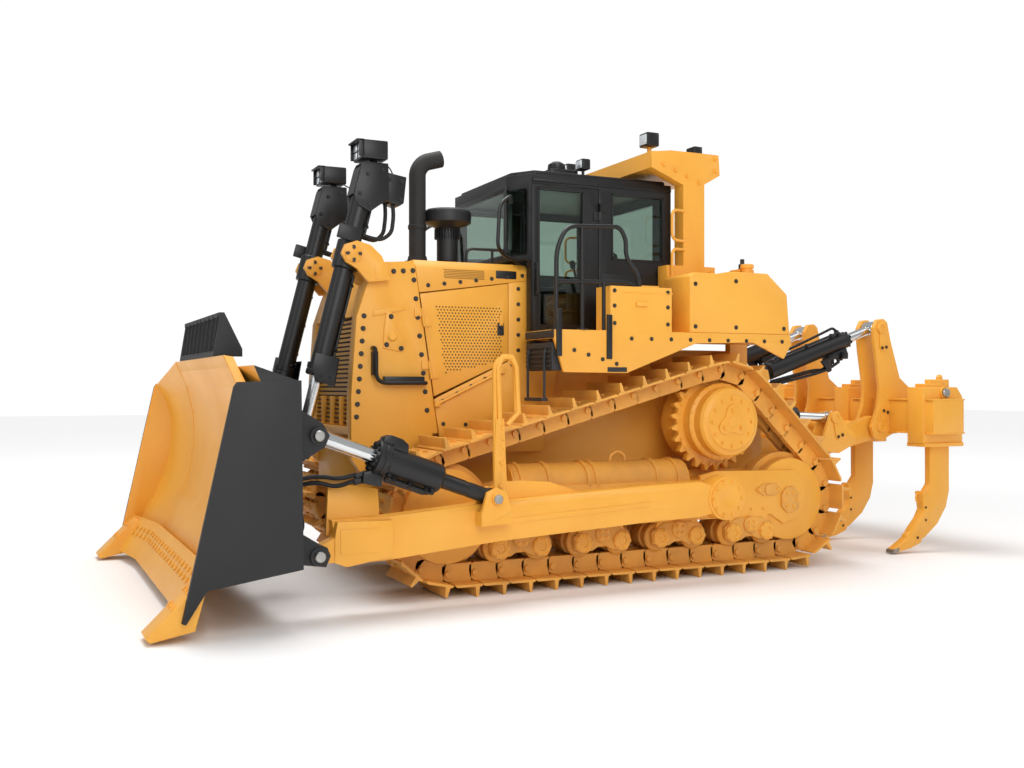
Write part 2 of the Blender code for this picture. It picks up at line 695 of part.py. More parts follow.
def cab_shell():
    solids = [prism(cab_footprint(0, False), CAB_FLOOR_Z, 2.84, "Z"),
              prism(cab_footprint(0, True), 2.83, CAB_ROOF_Z, "Z")]
    inner_top = CAB_ROOF_Z - 0.07
    cuts = [prism(cab_footprint(CAB_WALL, False), CAB_FLOOR_Z + 0.05, 2.90, "Z"),
            prism(cab_footprint(CAB_WALL, True), 2.89, inner_top, "Z")]
    x0, x1, z0, z1 = DOOR
    cuts.append(box(x0, x1, -1, 1, z0, z1))
    for side in (1, -1):
        for z in CAB_HINGES:
            solids.append(box(x0 - 0.06, x0, *span(side, CAB_HALF_WIDTH - 0.005, CAB_HINGE_Y), z + GAP,
                              z + HINGE_LENGTH))
            solids.append(bar((x0, side * CAB_HINGE_Y, z + GAP), (x0, side * CAB_HINGE_Y, z + HINGE_LENGTH),
                              HINGE_RADIUS, 10))
    x0, x1, z0, z1 = SIDE_LITE
    cuts.append(box(x0, x1, -1, 1, z0, z1))
    half, z0, z1 = REAR_LITE
    cuts.append(box(CAB_REAR_X - 0.1, CAB_REAR_X + 0.1, -half, half, z0, z1))
    # windscreen and the two lites in the cut corners
    cuts.append(box(1.12, 1.30, -0.56, 0.56, 2.90, 3.45))
    for side in (1, -1):
        cuts.append(prism([(1.105, side * 0.95), (1.085, side * 0.65), (1.185, side * 0.60),
                           (1.25, side * 0.75)], 2.90, 3.45, "Z"))
    piece("cab_shell", paint("cab_black", DARK, 0.4), solids, cuts)


def glass():
    return paint("cab_glass", "9DB0B0", 0.05, 0, 0.3)


def cab_glass():
    clear = 0.002
    x0, x1, z0, z1 = SIDE_LITE
    for side in (1, -1):
        y = span(side, CAB_HALF_WIDTH - 0.02 - GLASS, CAB_HALF_WIDTH - 0.02)
        piece(f"side_window_{hand(side)}", glass(), [box(x0 + GAP, x1 - GAP, *y, z0 + GAP, z1 - GAP)])
    half, z0, z1 = REAR_LITE
    x = CAB_REAR_X + 0.02
    piece("rear_window", glass(), [box(x, x + GLASS, -half + GAP, half - GAP, z0 + GAP, z1 - GAP)])
    # the windscreen is one bent pane on the front of the frame
    out, nose, door = GAP * 2, CAB_FRONT_X, CAB_DOOR_FRONT_X
    face = []
    for y, x in ((-0.80, door + 0.030), (-0.62, nose), (0.62, nose), (0.80, door + 0.030)):
        face.append((x + out, y + math.copysign(out, y)))
    back = [(x + GLASS, y + math.copysign(GLASS * 0.45, y)) for x, y in reversed(face)]
    piece("windscreen", glass(), [prism(face + back, 2.88, 3.47, "Z")])


def cab_door(side):
    x0, x1, z0, z1 = DOOR
    edge = 0.006
    hinge = (x0, side * CAB_HINGE_Y, z0)
    y = span(side, CAB_HALF_WIDTH - 0.045, CAB_HALF_WIDTH)
    a0, a1, b0, b1 = DOOR_LITE
    solids = [box(x0 + edge, x1 - edge, *y, z0 + edge, z1 - edge)]
    solids.append(box(x1 - 0.05, x1 - 0.03, *span(side, CAB_HALF_WIDTH - 0.01, CAB_HALF_WIDTH + 0.03), 2.55,
                      2.75))
    for z in CAB_HINGES:
        leaf = [(x0, CAB_HALF_WIDTH + 0.001), (x0 + edge, CAB_HALF_WIDTH + 0.001),
                (x0 + edge, CAB_HALF_WIDTH - 0.005),
                (x0 + 0.06, CAB_HALF_WIDTH - 0.005), (x0 + 0.06, CAB_HINGE_Y), (x0, CAB_HINGE_Y)]
        solids.append(prism([(x, side * y_out) for x, y_out in leaf], z - HINGE_LENGTH, z, "Z"))
        solids.append(bar((x0, side * CAB_HINGE_Y, z - HINGE_LENGTH), (x0, side * CAB_HINGE_Y, z),
                          HINGE_RADIUS, 10))
    cuts = [box(a0, a1, -1, 1, b0, b1)]
    piece(f"cab_door_{hand(side)}", paint("door_black", DARK, 0.4), solids, cuts, pivot=hinge)
    pane = span(side, CAB_HALF_WIDTH - 0.02 - GLASS, CAB_HALF_WIDTH - 0.02)
    piece(f"door_glass_{hand(side)}", glass(), [box(a0 + GAP, a1 - GAP, *pane, b0 + GAP, b1 - GAP)],
          pivot=hinge)


def operator_station():
    floor = CAB_FLOOR_Z + 0.05 + GAP
    solids = [box(-0.10, 0.35, -0.22, 0.22, floor, 2.46), box(-0.12, 0.42, -0.28, 0.28, 2.45, 2.58)]
    solids.append(prism([(-0.16, 2.50), (0.0, 2.50), (-0.10, 3.12), (-0.24, 3.10)], -0.26, 0.26))
    for side in (1, -1):
        solids.append(box(-0.10, 0.45, *span(side, 0.27, 0.48), 2.40, 2.72))
    piece("operator_station", paint("seat_black", "1D1E20", 0.8), solids)


def rops():
    solids = []
    beam = [(-0.075, 3.722), (-0.07, 3.871), (-0.30, ROPS_TOP_Z), (-0.818, ROPS_TOP_Z), (-0.83, 3.703),
            (-0.632, 3.68)]
    solids.append(prism(beam, -1.0, 1.0))
    for side in (1, -1):
        ear = [(-0.075, 3.722), (-0.07, 3.871), (-0.30, ROPS_TOP_Z - 0.01), (-0.818, ROPS_TOP_Z - 0.01),
               (-0.83, 3.703), (-0.632, 3.591), (-0.449, 3.572)]
        solids.append(prism(ear, *span(side, 0.90, 1.02)))
        solids.append(box(-0.655, -0.42, *span(side, 0.87, 1.02), 2.80, 3.72))
        # work lamp on its stalk
        solids.append(box(-0.20, -0.17, *span(side, 0.785, 0.815), 3.88, 3.98))
        solids.append(box(-0.235, -0.135, *span(side, 0.74, 0.86), 3.96, 4.08))
        solids.append(box(-0.774, -0.24, *span(side, 0.865, 1.02), DECK_TOP_Z + GAP, 2.83))
    piece("rops", paint("rops_paint", YELLOW), solids)


# ---------------------------------------------------------------- platform
def fender(side):
    skirt = [(1.149, 2.099), (1.149, DECK_TOP_Z), (-1.314, DECK_TOP_Z), (-1.325, 2.097), (-1.242, 1.963),
             (-0.894, 2.108), (-0.269, 2.088), (0.448, 1.821), (1.063, 1.826)]
    deck = [(1.149, 2.11), (1.149, DECK_TOP_Z), (-1.314, DECK_TOP_Z), (-1.314, 2.11)]
    solids = [prism(deck, *span(side, DECK_INNER_Y, DECK_HALF_WIDTH)),
              prism(skirt, *span(side, DECK_HALF_WIDTH - 0.03, DECK_HALF_WIDTH))]
    for x0, x1 in DECK_POSTS:
        solids.append(box(x0, x1, *span(side, DECK_INNER_Y, 0.95), 1.95, 2.13))
    # battery box, cut back to let the cab door swing
    plan = [(-0.011, 1.02), (0.498, 1.02), (0.61, 1.20), (0.61, DECK_HALF_WIDTH), (-0.011, DECK_HALF_WIDTH)]
    solids.append(prism([(x, side * y) for x, y in plan], DECK_TOP_Z - 0.01, 2.57, "Z"))
    piece(f"fender_{hand(side)}", paint("fender_paint", YELLOW), solids)


def fuel_tank():
    low = DECK_TOP_Z + GAP
    view = [(-0.79, low), (-0.79, 2.745), (-1.056, 2.745), (-1.278, 2.56), (-1.31, low)]
    solids = [prism(view, -DECK_HALF_WIDTH, DECK_HALF_WIDTH)]
    for side in (1, -1):
        front = [(-0.204, low), (-0.204, 2.69), (-0.236, 2.72), (-0.60, 2.72), (-0.62, 2.745),
                 (-0.85, 2.745), (-0.85, low)]
        solids.append(prism(front, *span(side, 1.03, DECK_HALF_WIDTH)))
    piece("fuel_tank", paint("tank_paint", YELLOW), solids)


def platform_rail(side):
    y = side * (DECK_HALF_WIDTH - 0.03)
    top = DECK_TOP_Z + GAP
    loop = [(1.12, top), (1.115, 2.80), (1.10, 2.90), (1.02, 3.04), (0.96, 3.067), (0.52, 3.083),
            (0.46, 3.05),
            (0.44, 2.82), (0.42, 2.76), (0.32, 2.68), (0.305, 2.574)]
    solids = [pipe([(x, y, z) for x, z in loop], RAIL_RADIUS)]
    solids.append(pipe([(1.14, y, 2.578), (0.62, y, 2.60)], RAIL_RADIUS * 0.9))
    solids.append(pipe([(0.871, y, top), (0.871, y, 3.07)], RAIL_RADIUS * 0.9))
    piece(f"platform_rail_{hand(side)}", paint("rail_black", DARK, 0.5), solids)


# ---------------------------------------------------------------- blade and its arms
BLADE_MIDDLE = [(3.83, 1.94), (3.73, 1.72), (3.666, 1.45), (3.66, 1.18), (3.70, 0.90), (3.80, 0.62),
                (3.945, 0.36)]
BLADE_END = [(3.90, 1.72), (3.82, 1.58), (3.765, 1.40), (3.76, 1.18), (3.80, 0.92), (3.91, 0.62),
             (4.07, 0.35)]


def blade_section(front, y, back, foot):
    """Closed outline of the blade's shell at one y: its curved face and a parallel back."""
    face = [(x, y, z) for x, z in front]
    rear = ([(x - back, y, z - 0.01) for x, z in front[:-1]]
           + [(front[-1][0] - foot, y, front[-1][1] + 0.02)])
    return face + rear[::-1]


def blade():
    half = BLADE_WIDTH / 2
    shell = loft([
        blade_section(BLADE_END, -half + 0.03, 0.07, 0.12),
        blade_section(BLADE_MIDDLE, -1.25, 0.07, 0.12),
        blade_section(BLADE_MIDDLE, 1.25, 0.07, 0.12),
        blade_section(BLADE_END, half - 0.03, 0.07, 0.12),
    ])
    solids = [shell]
    plate = [(3.923, 1.703), (3.90, 1.735), (3.466, 1.747), (3.45, 0.442), (4.099, 0.343), (4.235, 0.13),
             (4.26, 0.14)]
    top = [(3.79, 1.85), (3.47, 1.74), (3.46, 1.50), (3.64, 1.50)]
    low = [(3.84, 0.62), (3.90, 0.42), (3.455, 0.46), (3.455, 0.80), (3.70, 0.80)]
    middle = [(3.66, 1.08), (3.66, 1.24), (3.50, 1.22), (3.50, 1.10)]
    solids.append(prism(top, -half + 0.02, half - 0.02))
    solids.append(prism(low, -half + 0.02, half - 0.02))
    solids.append(prism(middle, -half + 0.02, half - 0.02))
    rib = [(3.70, 1.80), (3.47, 1.74), (3.455, 0.46), (3.80, 0.50), (3.68, 0.90), (3.64, 1.20),
           (3.66, 1.50)]
    for side in (1, -1):
        solids.append(prism(plate, *span(side, half - 0.045, half)))
        for y in (0.18, 1.22):
            solids.append(prism(rib, *span(side, y - 0.02, y + 0.02)))
        # lugs of the lift rods, either side of the rod's eye
        lug = [(LIFT_PIN[0] - 0.08, LIFT_PIN[1] - 0.03), (LIFT_PIN[0] - 0.05, LIFT_PIN[1] - 0.09),
               (3.50, 0.47),
               (3.50, 0.80), (LIFT_PIN[0] + 0.05, LIFT_PIN[1] + 0.065),
               (LIFT_PIN[0] - 0.07, LIFT_PIN[1] + 0.05)]
        for leaf in clevis_plates(LIFT_Y):
            solids.append(prism(lug, *span(side, *leaf)))
        # clevis on the arm's nose, and that of the tilt rod above it
        clevis = [(ARM_PIN[0] - 0.085, ARM_PIN[1]), (ARM_PIN[0] - 0.05, ARM_PIN[1] - 0.08), (3.50, 0.445),
                  (3.50, 0.72),
                  (ARM_PIN[0], ARM_PIN[1] + 0.09), (ARM_PIN[0] - 0.06, ARM_PIN[1] + 0.06)]
        upper = [(TILT_ROD_PIN[0] - 0.085, TILT_ROD_PIN[1]),
                 (TILT_ROD_PIN[0] - 0.05, TILT_ROD_PIN[1] - 0.08),
                 (3.50, 1.10), (3.68, 1.10), (3.68, 1.55), (3.50, 1.60),
                 (TILT_ROD_PIN[0] - 0.03, TILT_ROD_PIN[1] + 0.09)]
        for leaf in clevis_plates(ARM_Y):
            solids.append(prism(clevis, *span(side, *leaf)))
            solids.append(prism(upper, *span(side, *leaf)))
        solids.append(eye(ARM_PIN, BLADE_PIN_RADIUS, side * ARM_Y, CLEVIS_GAP + CLEVIS_PLATE))
    piece("blade", paint("blade_paint", YELLOW), solids, pivot=(ARM_PIN[0], 0, ARM_PIN[1]))


def cutting_edge():
    """Bolt-on edge in the middle and on the wings, and the two end bits."""
    def strip(y, shift):
        top = (3.958 + shift, 0.385)
        bottom = (4.165 + shift, 0.075)
        return [(top[0], y, top[1]), (top[0] + 0.036, y, top[1] + 0.025),
                (bottom[0] + 0.036, y, bottom[1] + 0.012),
                (bottom[0], y, bottom[1] - 0.012)]
    half = BLADE_WIDTH / 2
    solids = []
    end = half - 0.045 - GAP
    sections = [strip(y, shift) for y, shift in ((-end, 0.122), (-1.25, 0), (1.25, 0), (end, 0.122))]
    solids.append(loft(sections))
    for side in (1, -1):
        tip = [(4.09, 0.375), (4.125, 0.40), (BLADE_TIP_X, 0.045), (BLADE_TIP_X - 0.03, 0.022),
               (4.17, 0.075)]
        solids.append(prism(tip, *span(side, half - 0.33, half - 0.0455 - GAP)))
    piece("cutting_edge", paint("edge_paint", YELLOW), solids, pivot=(ARM_PIN[0], 0, ARM_PIN[1]))


def trash_rack():
    """Slatted guard that stands on the blade's top edge."""
    solids = []
    for side in (1, -1):
        end = [(3.845, 1.94 + GAP), (3.79, 2.285), (3.76, 2.285), (3.62, 2.0), (3.62, 1.94 + GAP)]
        solids.append(prism(end, *span(side, 0.86, 0.89)))
    solids.append(box(3.765, 3.80, -0.89, 0.89, 2.25, 2.285))
    solids.append(box(3.80, 3.84, -0.89, 0.89, 1.94 + GAP, 1.985))
    count = 9
    for k in range(count):
        y = -0.80 + 1.6 * k / (count - 1)
        solids.append(prism([(3.80, 1.96), (3.84, 1.96), (3.80, 2.28), (3.765, 2.28)], y - 0.008,
                            y + 0.008))
    piece("trash_rack", paint("rack_paint", DARK), solids, pivot=(ARM_PIN[0], 0, ARM_PIN[1]))


def push_arm(side):
    tx, tz = TRUNNION
    px, pz = ARM_PIN
    body = [(3.10, 0.40), (3.14, 0.72), (2.70, 0.73), (1.80, 0.80), (0.40, 0.875), (-0.10, 0.885),
            (-0.26, 0.84), (-0.26, 0.62), (-0.10, 0.585),
            (0.40, 0.57), (1.80, 0.49), (2.75, 0.40)]
    solids = [prism(body, *span(side, 1.60, 1.76))]
    nose = [(2.70, 0.44), (2.70, 0.71), (3.12, 0.715), (3.14, 0.60), (3.14, 0.42), (3.05, 0.385)]
    solids.append(prism(nose, *span(side, 1.66, 1.84)))
    solids.append(prism([(3.14, 0.99), (3.16, 0.60), (2.74, 0.60), (2.758, 0.928)],
                        *span(side, 1.62, 1.66)))
    solids.append(eye(ARM_PIN, 0.08, side * ARM_Y, 0.12))
    cuts = [bore(ARM_PIN, BLADE_PIN_RADIUS, side * ARM_Y, 0.2),
            bore(TRUNNION, BALL_RADIUS, side * 1.56, 0.24)]
    solids.append(prism([(3.10, 0.42), (3.10, 0.62), (px, pz + 0.06), (px, pz - 0.06)],
                        *span(side, ARM_Y - 0.05, ARM_Y + 0.05)))
    # trunnion cap with a round seat for the ball
    solids.append(eye(TRUNNION, 0.19, side * 1.685, 0.17, 20))
    # saddle that carries the tilt cylinder's eye
    saddle = [(1.00, 0.83), (1.30, 0.93), (1.55, 0.95), (1.78, 0.94), (1.90, 0.80), (1.80, 0.75),
              (1.00, 0.80)]
    solids.append(prism(saddle, *span(side, 1.62, 1.66)))
    bx, bz = TILT_BARREL_PIN
    cuts.append(eye(TILT_BARREL_PIN, 0.085, side * ARM_Y, CLEVIS_GAP))
    bracket = [(bx - 0.13, 0.74), (bx - 0.08, bz + 0.05), (bx, bz + 0.085), (bx + 0.08, bz + 0.05),
               (bx + 0.13, 0.72)]
    for leaf in clevis_plates(ARM_Y):
        solids.append(prism(bracket, *span(side, *leaf)))
    solids.append(prism([(bx - 0.13, 0.64), (bx - 0.13, 0.745), (bx + 0.13, 0.735), (bx + 0.13, 0.63)],
                        *span(side, 1.70, ARM_Y + 0.105)))
    # hand rail for stepping up from the arm
    y = side * 1.70
    rail = [(1.74, y, 0.79), (1.78, y, 1.86), (1.74, y, 1.94), (1.66, y, 1.94), (1.62, y, 1.86),
            (1.60, y, 1.50), (1.70, y, 1.40)]
    solids.append(pipe(rail, 0.02, 6))
    solids.append(prism([(1.70, 0.79), (1.73, 1.45), (1.80, 1.45), (1.82, 0.79)], *span(side, 1.69, 1.71)))
    piece(f"push_arm_{hand(side)}", paint("arm_paint", YELLOW), solids, cuts, pivot=at_y(TRUNNION, 0))


def cylinder_pair(prefix, y, pins, radii, length, strokes, eye_widths, neck=0.0, back=0.0, rim=0.02):
    """Barrel and rod of a double-acting cylinder, left and right.

    pins: the barrel's, then the rod's. radii: of the barrel, the rod and the eyes.
    length: from the barrel's pin to its gland. strokes: how far the rod moves in and out from rest.
    neck: of the barrel's foot; back: how far a barrel held by a yoke reaches behind its pin.
    """
    barrel_pin, rod_pin = pins
    barrel_radius, rod_radius, eye_radius = radii
    barrel_eye, rod_eye = eye_widths

    def along(distance):
        return at_y(between(barrel_pin, rod_pin, distance), here)

    rod_foot = length - strokes[1] - ROD_GUIDE
    bore_end = rod_foot - strokes[0] - 0.01
    for side in (1, -1):
        here = side * y
        solids = [eye(barrel_pin, eye_radius, here, barrel_eye)]
        if back:
            solids.insert(0, bar(along(-back), along(length), barrel_radius))
            solids.append(bar(along(0.12), along(-0.12), barrel_radius + 0.025))
        else:
            solids.insert(0, bar(along(neck), along(length), barrel_radius))
            solids.append(bar(along(eye_radius * 0.5), along(neck + 0.02), barrel_eye / 2 - 0.005))
        if rim:
            solids.append(bar(along(length - 0.10), along(length), barrel_radius + rim))
        cuts = [bar(along(bore_end), along(length + 0.02), rod_radius + GAP / math.cos(math.pi / 14))]
        piece(f"{prefix}_barrel_{hand(side)}", paint(prefix + "_black", DARK, 0.35), solids, cuts,
              pivot=at_y(barrel_pin, 0))
        tip = math.dist(barrel_pin, rod_pin) - eye_radius * 0.5
        solids = [bar(along(rod_foot), along(tip), rod_radius), eye(rod_pin, eye_radius, here, rod_eye)]
        piece(f"{prefix}_rod_{hand(side)}", paint(prefix + "_chrome", STEEL, 0.15, 1.0), solids,
              pivot=at_y(rod_pin, 0))


# ---------------------------------------------------------------- ripper
def ripper_link():
    lx, lz = LINK_PIN
    bx, bz = BEAM_PIN
    solids = []
    for side in (1, -1):
        arm = [(lx + 0.07, lz + 0.06), (lx + 0.09, lz - 0.05), (lx, lz - 0.10), (-2.46, 0.99),
               (bx, bz - 0.12),
               (bx - 0.05, bz - 0.07), (bx - 0.075, bz), (bx - 0.05, bz + 0.07), (bx + 0.03, bz + 0.115),
               (-2.60, 1.25),
               (-2.10, 1.12)]
        solids.append(prism(arm, *span(side, LINK_INNER_Y + GAP, 0.62)))
        ear = [(-2.20, 1.06), (-2.33, 1.36), (-2.36, 1.44), (-2.45, 1.455), (-2.49, 1.40), (-2.70, 1.16)]
        for y in (RIPPER_LIFT_Y - 0.095, RIPPER_LIFT_Y + 0.06):
            solids.append(prism(ear, *span(side, y, y + 0.035)))
        solids.append(prism([(-2.20, 1.06), (-2.24, 1.15), (-2.66, 1.24), (-2.70, 1.13), (-2.46, 1.02)],
                            *span(side, 0.60, RIPPER_LIFT_Y + 0.095)))
    solids.append(strut((-2.55, -0.55, 1.11), (-2.55, 0.55, 1.11), 0.30, 0.13))
    piece("ripper_link", paint("link_paint", YELLOW), solids, pivot=at_y(LINK_PIN, 0))
    piece("ripper_pins", paint("pin_steel", STEEL, 0.4, 1.0),
          [eye(BEAM_PIN, LINK_PIN_RADIUS, 0, 2 * LINK_INNER_Y)], pivot=at_y(BEAM_PIN, 0))


def ripper_beam():
    bx, bz = BEAM_PIN
    solids = [box(-3.66, -3.24, -BEAM_WIDTH / 2, BEAM_WIDTH / 2, 1.226, 1.567)]
    cuts = []
    ex, ez = EAR_PIN
    for side in (1, -1):
        ear = [(bx + 0.13, bz), (bx + 0.09, bz - 0.12), (bx, bz - 0.15), (-3.30, 1.20), (-3.66, 1.24),
               (-3.66, 1.60),
               (-3.40, 1.80), (-3.27, 2.20), (ex - 0.09, ez + 0.06), (ex - 0.04, ez + 0.10),
               (ex + 0.05, ez + 0.09),
               (ex + 0.10, ez), (ex + 0.08, 2.10), (-3.12, 1.70), (-3.10, 1.50)]
        for y in (TIP_Y - 0.1425, TIP_Y + 0.0925):
            solids.append(prism(ear, *span(side, y, y + 0.05)))
        cuts.append(bore(BEAM_PIN, LINK_PIN_RADIUS, side * 0.44, 0.15))
    for y in (-SHANK_SPACING, 0, SHANK_SPACING):
        pocket = [(-3.21, 1.12), (-3.21, 1.70), (-3.68, 1.70), (RIPPER_REAR_X, 1.60), (RIPPER_REAR_X, 1.10)]
        solids.append(prism(pocket, y - 0.11, y + 0.11))
        half = SHANK_THICKNESS / 2 + GAP
        cuts.append(box(SHANK_REAR_X - GAP, SHANK_FRONT_X + GAP, y - half, y + half, 1.0, 1.80))
    piece("ripper_beam", paint("beam_paint", YELLOW), solids, cuts, pivot=at_y(BEAM_PIN, 0))


def shank(number, y):
    front, rear = SHANK_FRONT_X, SHANK_REAR_X
    outline = [(front, 1.78), (rear, 1.78), (rear, 0.62)]
    outline += [(-3.60, 0.45), (-3.48, 0.28), (-3.30, 0.146), (-3.10, 0.06), (-2.861, 0.012),
                (-2.87, 0.045), (-3.05, 0.13),
                (-3.06, 0.19), (-3.16, 0.24), (-3.26, 0.36), (-3.30, 0.44), (-3.27, 0.56), (front, 0.70)]
    piece(f"ripper_shank_{number}", paint("shank_paint", YELLOW),
          [prism(outline, y - SHANK_THICKNESS / 2, y + SHANK_THICKNESS / 2)],
          pivot=at_y(BEAM_PIN, 0))


# ---------------------------------------------------------------- build
clear_scene()
datum = bpy.data.objects.new("datum", None)
datum.location.x = -(BLADE_TIP_X + RIPPER_REAR_X) / 2
bpy.context.scene.collection.objects.link(datum)

main_frame()
engine()
radiator_guard()
hood()
exhaust()
cab_shell()
cab_glass()
operator_station()
rops()
fuel_tank()
blade()
cutting_edge()
trash_rack()
ripper_link()
ripper_beam()
for number, shank_y in enumerate((SHANK_SPACING, 0, -SHANK_SPACING), 1):
    shank(number, shank_y)
for hand_side in (1, -1):
    track(hand_side)
    track_frame(hand_side)
    final_drive(hand_side)
    side_panel(hand_side)
    engine_door(hand_side)
    cab_door(hand_side)
    fender(hand_side)
    platform_rail(hand_side)
    push_arm(hand_side)
held = CLEVIS_GAP - 2 * GAP
cylinder_pair("lift", LIFT_Y, (LIFT_YOKE, LIFT_PIN), (0.085, 0.05, 0.075), 1.05, (1.09, 0.46),
              (YOKE_GAP - 2 * GAP, 0.10), back=0.78)
cylinder_pair("tilt", ARM_Y, (TILT_BARREL_PIN, TILT_ROD_PIN), (0.115, 0.055, 0.075), 1.02, (0.075, 0.075),
              (held, 0.10), neck=0.46)
cylinder_pair("tip", TIP_Y, (TIP_BARREL_PIN, EAR_PIN), (0.085, 0.05, 0.075), 1.25, (0.25, 0.21),
              (held, 0.155), neck=0.15, rim=0.0)
cylinder_pair("ripper_lift", RIPPER_LIFT_Y, (RIPPER_LIFT_BARREL_PIN, RIPPER_LIFT_PIN),
              (0.075, 0.045, 0.065), 0.72,
              (0.25, 0.245), (RIPPER_EYE, RIPPER_EYE), neck=0.12)
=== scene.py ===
import json
import math

import bmesh
import bpy
from mathutils import Matrix, Vector

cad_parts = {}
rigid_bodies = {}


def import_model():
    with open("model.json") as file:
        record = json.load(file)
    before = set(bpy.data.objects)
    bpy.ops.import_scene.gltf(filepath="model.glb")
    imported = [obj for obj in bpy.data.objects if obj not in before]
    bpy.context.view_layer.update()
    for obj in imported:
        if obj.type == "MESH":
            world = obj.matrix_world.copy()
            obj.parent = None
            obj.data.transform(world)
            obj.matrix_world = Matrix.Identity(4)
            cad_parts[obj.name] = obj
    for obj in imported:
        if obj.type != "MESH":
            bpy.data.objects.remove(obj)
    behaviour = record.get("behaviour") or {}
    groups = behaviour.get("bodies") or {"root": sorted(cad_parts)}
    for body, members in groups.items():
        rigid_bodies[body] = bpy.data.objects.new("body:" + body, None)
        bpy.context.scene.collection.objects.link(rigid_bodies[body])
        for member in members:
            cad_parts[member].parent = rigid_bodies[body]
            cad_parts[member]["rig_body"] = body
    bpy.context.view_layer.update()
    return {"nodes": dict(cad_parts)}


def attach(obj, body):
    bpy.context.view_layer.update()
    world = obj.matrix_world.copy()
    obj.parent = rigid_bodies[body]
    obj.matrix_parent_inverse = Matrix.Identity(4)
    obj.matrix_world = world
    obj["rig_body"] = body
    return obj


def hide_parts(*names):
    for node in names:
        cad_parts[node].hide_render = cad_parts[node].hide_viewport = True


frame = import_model()

# Stage: a pale studio floor that fades into the light all round it, a broad soft light above the near side,
# a second one ahead of the blade, and the camera low beside the blade's left corner.
floor_data = bpy.data.meshes.new("studio_floor")
floor_data.from_pydata([(-60, -60, -0.001), (60, -60, -0.001), (60, 60, -0.001), (-60, 60, -0.001)], [],
                       [(0, 1, 2, 3)])
floor = bpy.data.objects.new("studio_floor", floor_data)
bpy.context.scene.collection.objects.link(floor)


def put(tree, kind, settings=None, inputs=None):
    """Adds a node with its settings, its input values and its links."""
    made = tree.nodes.new(kind)
    for key, value in (settings or {}).items():
        setattr(made, key, value)
    for key, value in (inputs or {}).items():
        if isinstance(value, bpy.types.NodeSocket):
            tree.links.new(value, made.inputs[key])
        else:
            made.inputs[key].default_value = value
    return made


paper = bpy.data.materials.new("matte_studio_paper")
paper.use_nodes = True
skin = paper.node_tree.nodes["Principled BSDF"]
skin.inputs["Base Color"].default_value = (0.88, 0.88, 0.88, 1)
skin.inputs["Roughness"].default_value = 0.9
# The paper glows, more and more from 4.5 m out to 16 m from the machine: painted light that fades the floor
# into the white backdrop.
skin.inputs["Emission Color"].default_value = (1, 1, 1, 1)
place = put(paper.node_tree, "ShaderNodeTexCoord").outputs["Object"]
away = put(paper.node_tree, "ShaderNodeVectorMath", {"operation": "LENGTH"}, {0: place}).outputs["Value"]
glow = put(paper.node_tree, "ShaderNodeMapRange", {"interpolation_type": "SMOOTHSTEP"},
           {0: away, 1: 4.5, 2: 16.0, 4: 0.5})
paper.node_tree.links.new(glow.outputs[0], skin.inputs["Emission Strength"])
floor_data.materials.append(paper)

world = bpy.data.worlds.new("studio")
bpy.context.scene.world = world
world.use_nodes = True
backdrop = world.node_tree.nodes["Background"]
backdrop.inputs["Color"].default_value = (1, 1, 1, 1)
seen = put(world.node_tree, "ShaderNodeLightPath").outputs["Is Camera Ray"]
level = put(world.node_tree, "ShaderNodeMapRange", None, {0: seen, 3: 0.46, 4: 1.02})
world.node_tree.links.new(level.outputs[0], backdrop.inputs["Strength"])
bpy.context.scene.view_settings.view_transform = "Standard"

for light_name, light_place, light_aim, light_size, light_power in (
    ("overhead_softbox", (1.5, -1.5, 12.5), (0, 0, 0), 8.0, 1300),
    ("near_softbox", (3.0, 11.0, 7.0), (0, 0, 1.0), 7.0, 560),
    ("blade_softbox", (11.0, 3.0, 6.0), (1.5, 0, 1.0), 6.0, 120),
    ("rear_softbox", (-9.0, 3.0, 8.0), (-2.0, 0, 1.5), 6.0, 150),
):
    lamp = bpy.data.lights.new(light_name, "AREA")
    lamp.size, lamp.energy = light_size, light_power
    stand = bpy.data.objects.new(light_name, lamp)
    stand.location = light_place
    stand.rotation_euler = (Vector(light_aim) - Vector(light_place)).to_track_quat("-Z", "Y").to_euler()
    bpy.context.scene.collection.objects.link(stand)

camera_data = bpy.data.cameras.new("camera")
camera_data.lens, camera_data.sensor_width = 38.58, 36.0
camera = bpy.data.objects.new("camera", camera_data)
camera.location = (4.97545, 9.6148, 1.7022)
camera.rotation_euler = (math.pi / 2 + 0.0026, 0, -2.0061 - math.pi / 2)
bpy.context.scene.collection.objects.link(camera)
bpy.context.scene.camera = camera

# Hull: the welded main frame, painted like nearly all of the machine in one satin enamel. The sprayed coat
# has a faint orange peel and drifts a little in tone from plate to plate. Cut and rolled plate has softly
# rounded edges.
AHEAD = Vector((-0.36275, 0, 0))    # from a station on the machine to the frame's own origin


def linear(colour):
    """An sRGB hex colour as linear red, green, blue and alpha."""
    parts = [int(colour[i:i + 2], 16) / 255 for i in (0, 2, 4)]
    return [c / 12.92 if c <= 0.04045 else ((c + 0.055) / 1.055) ** 2.4 for c in parts] + [1.0]


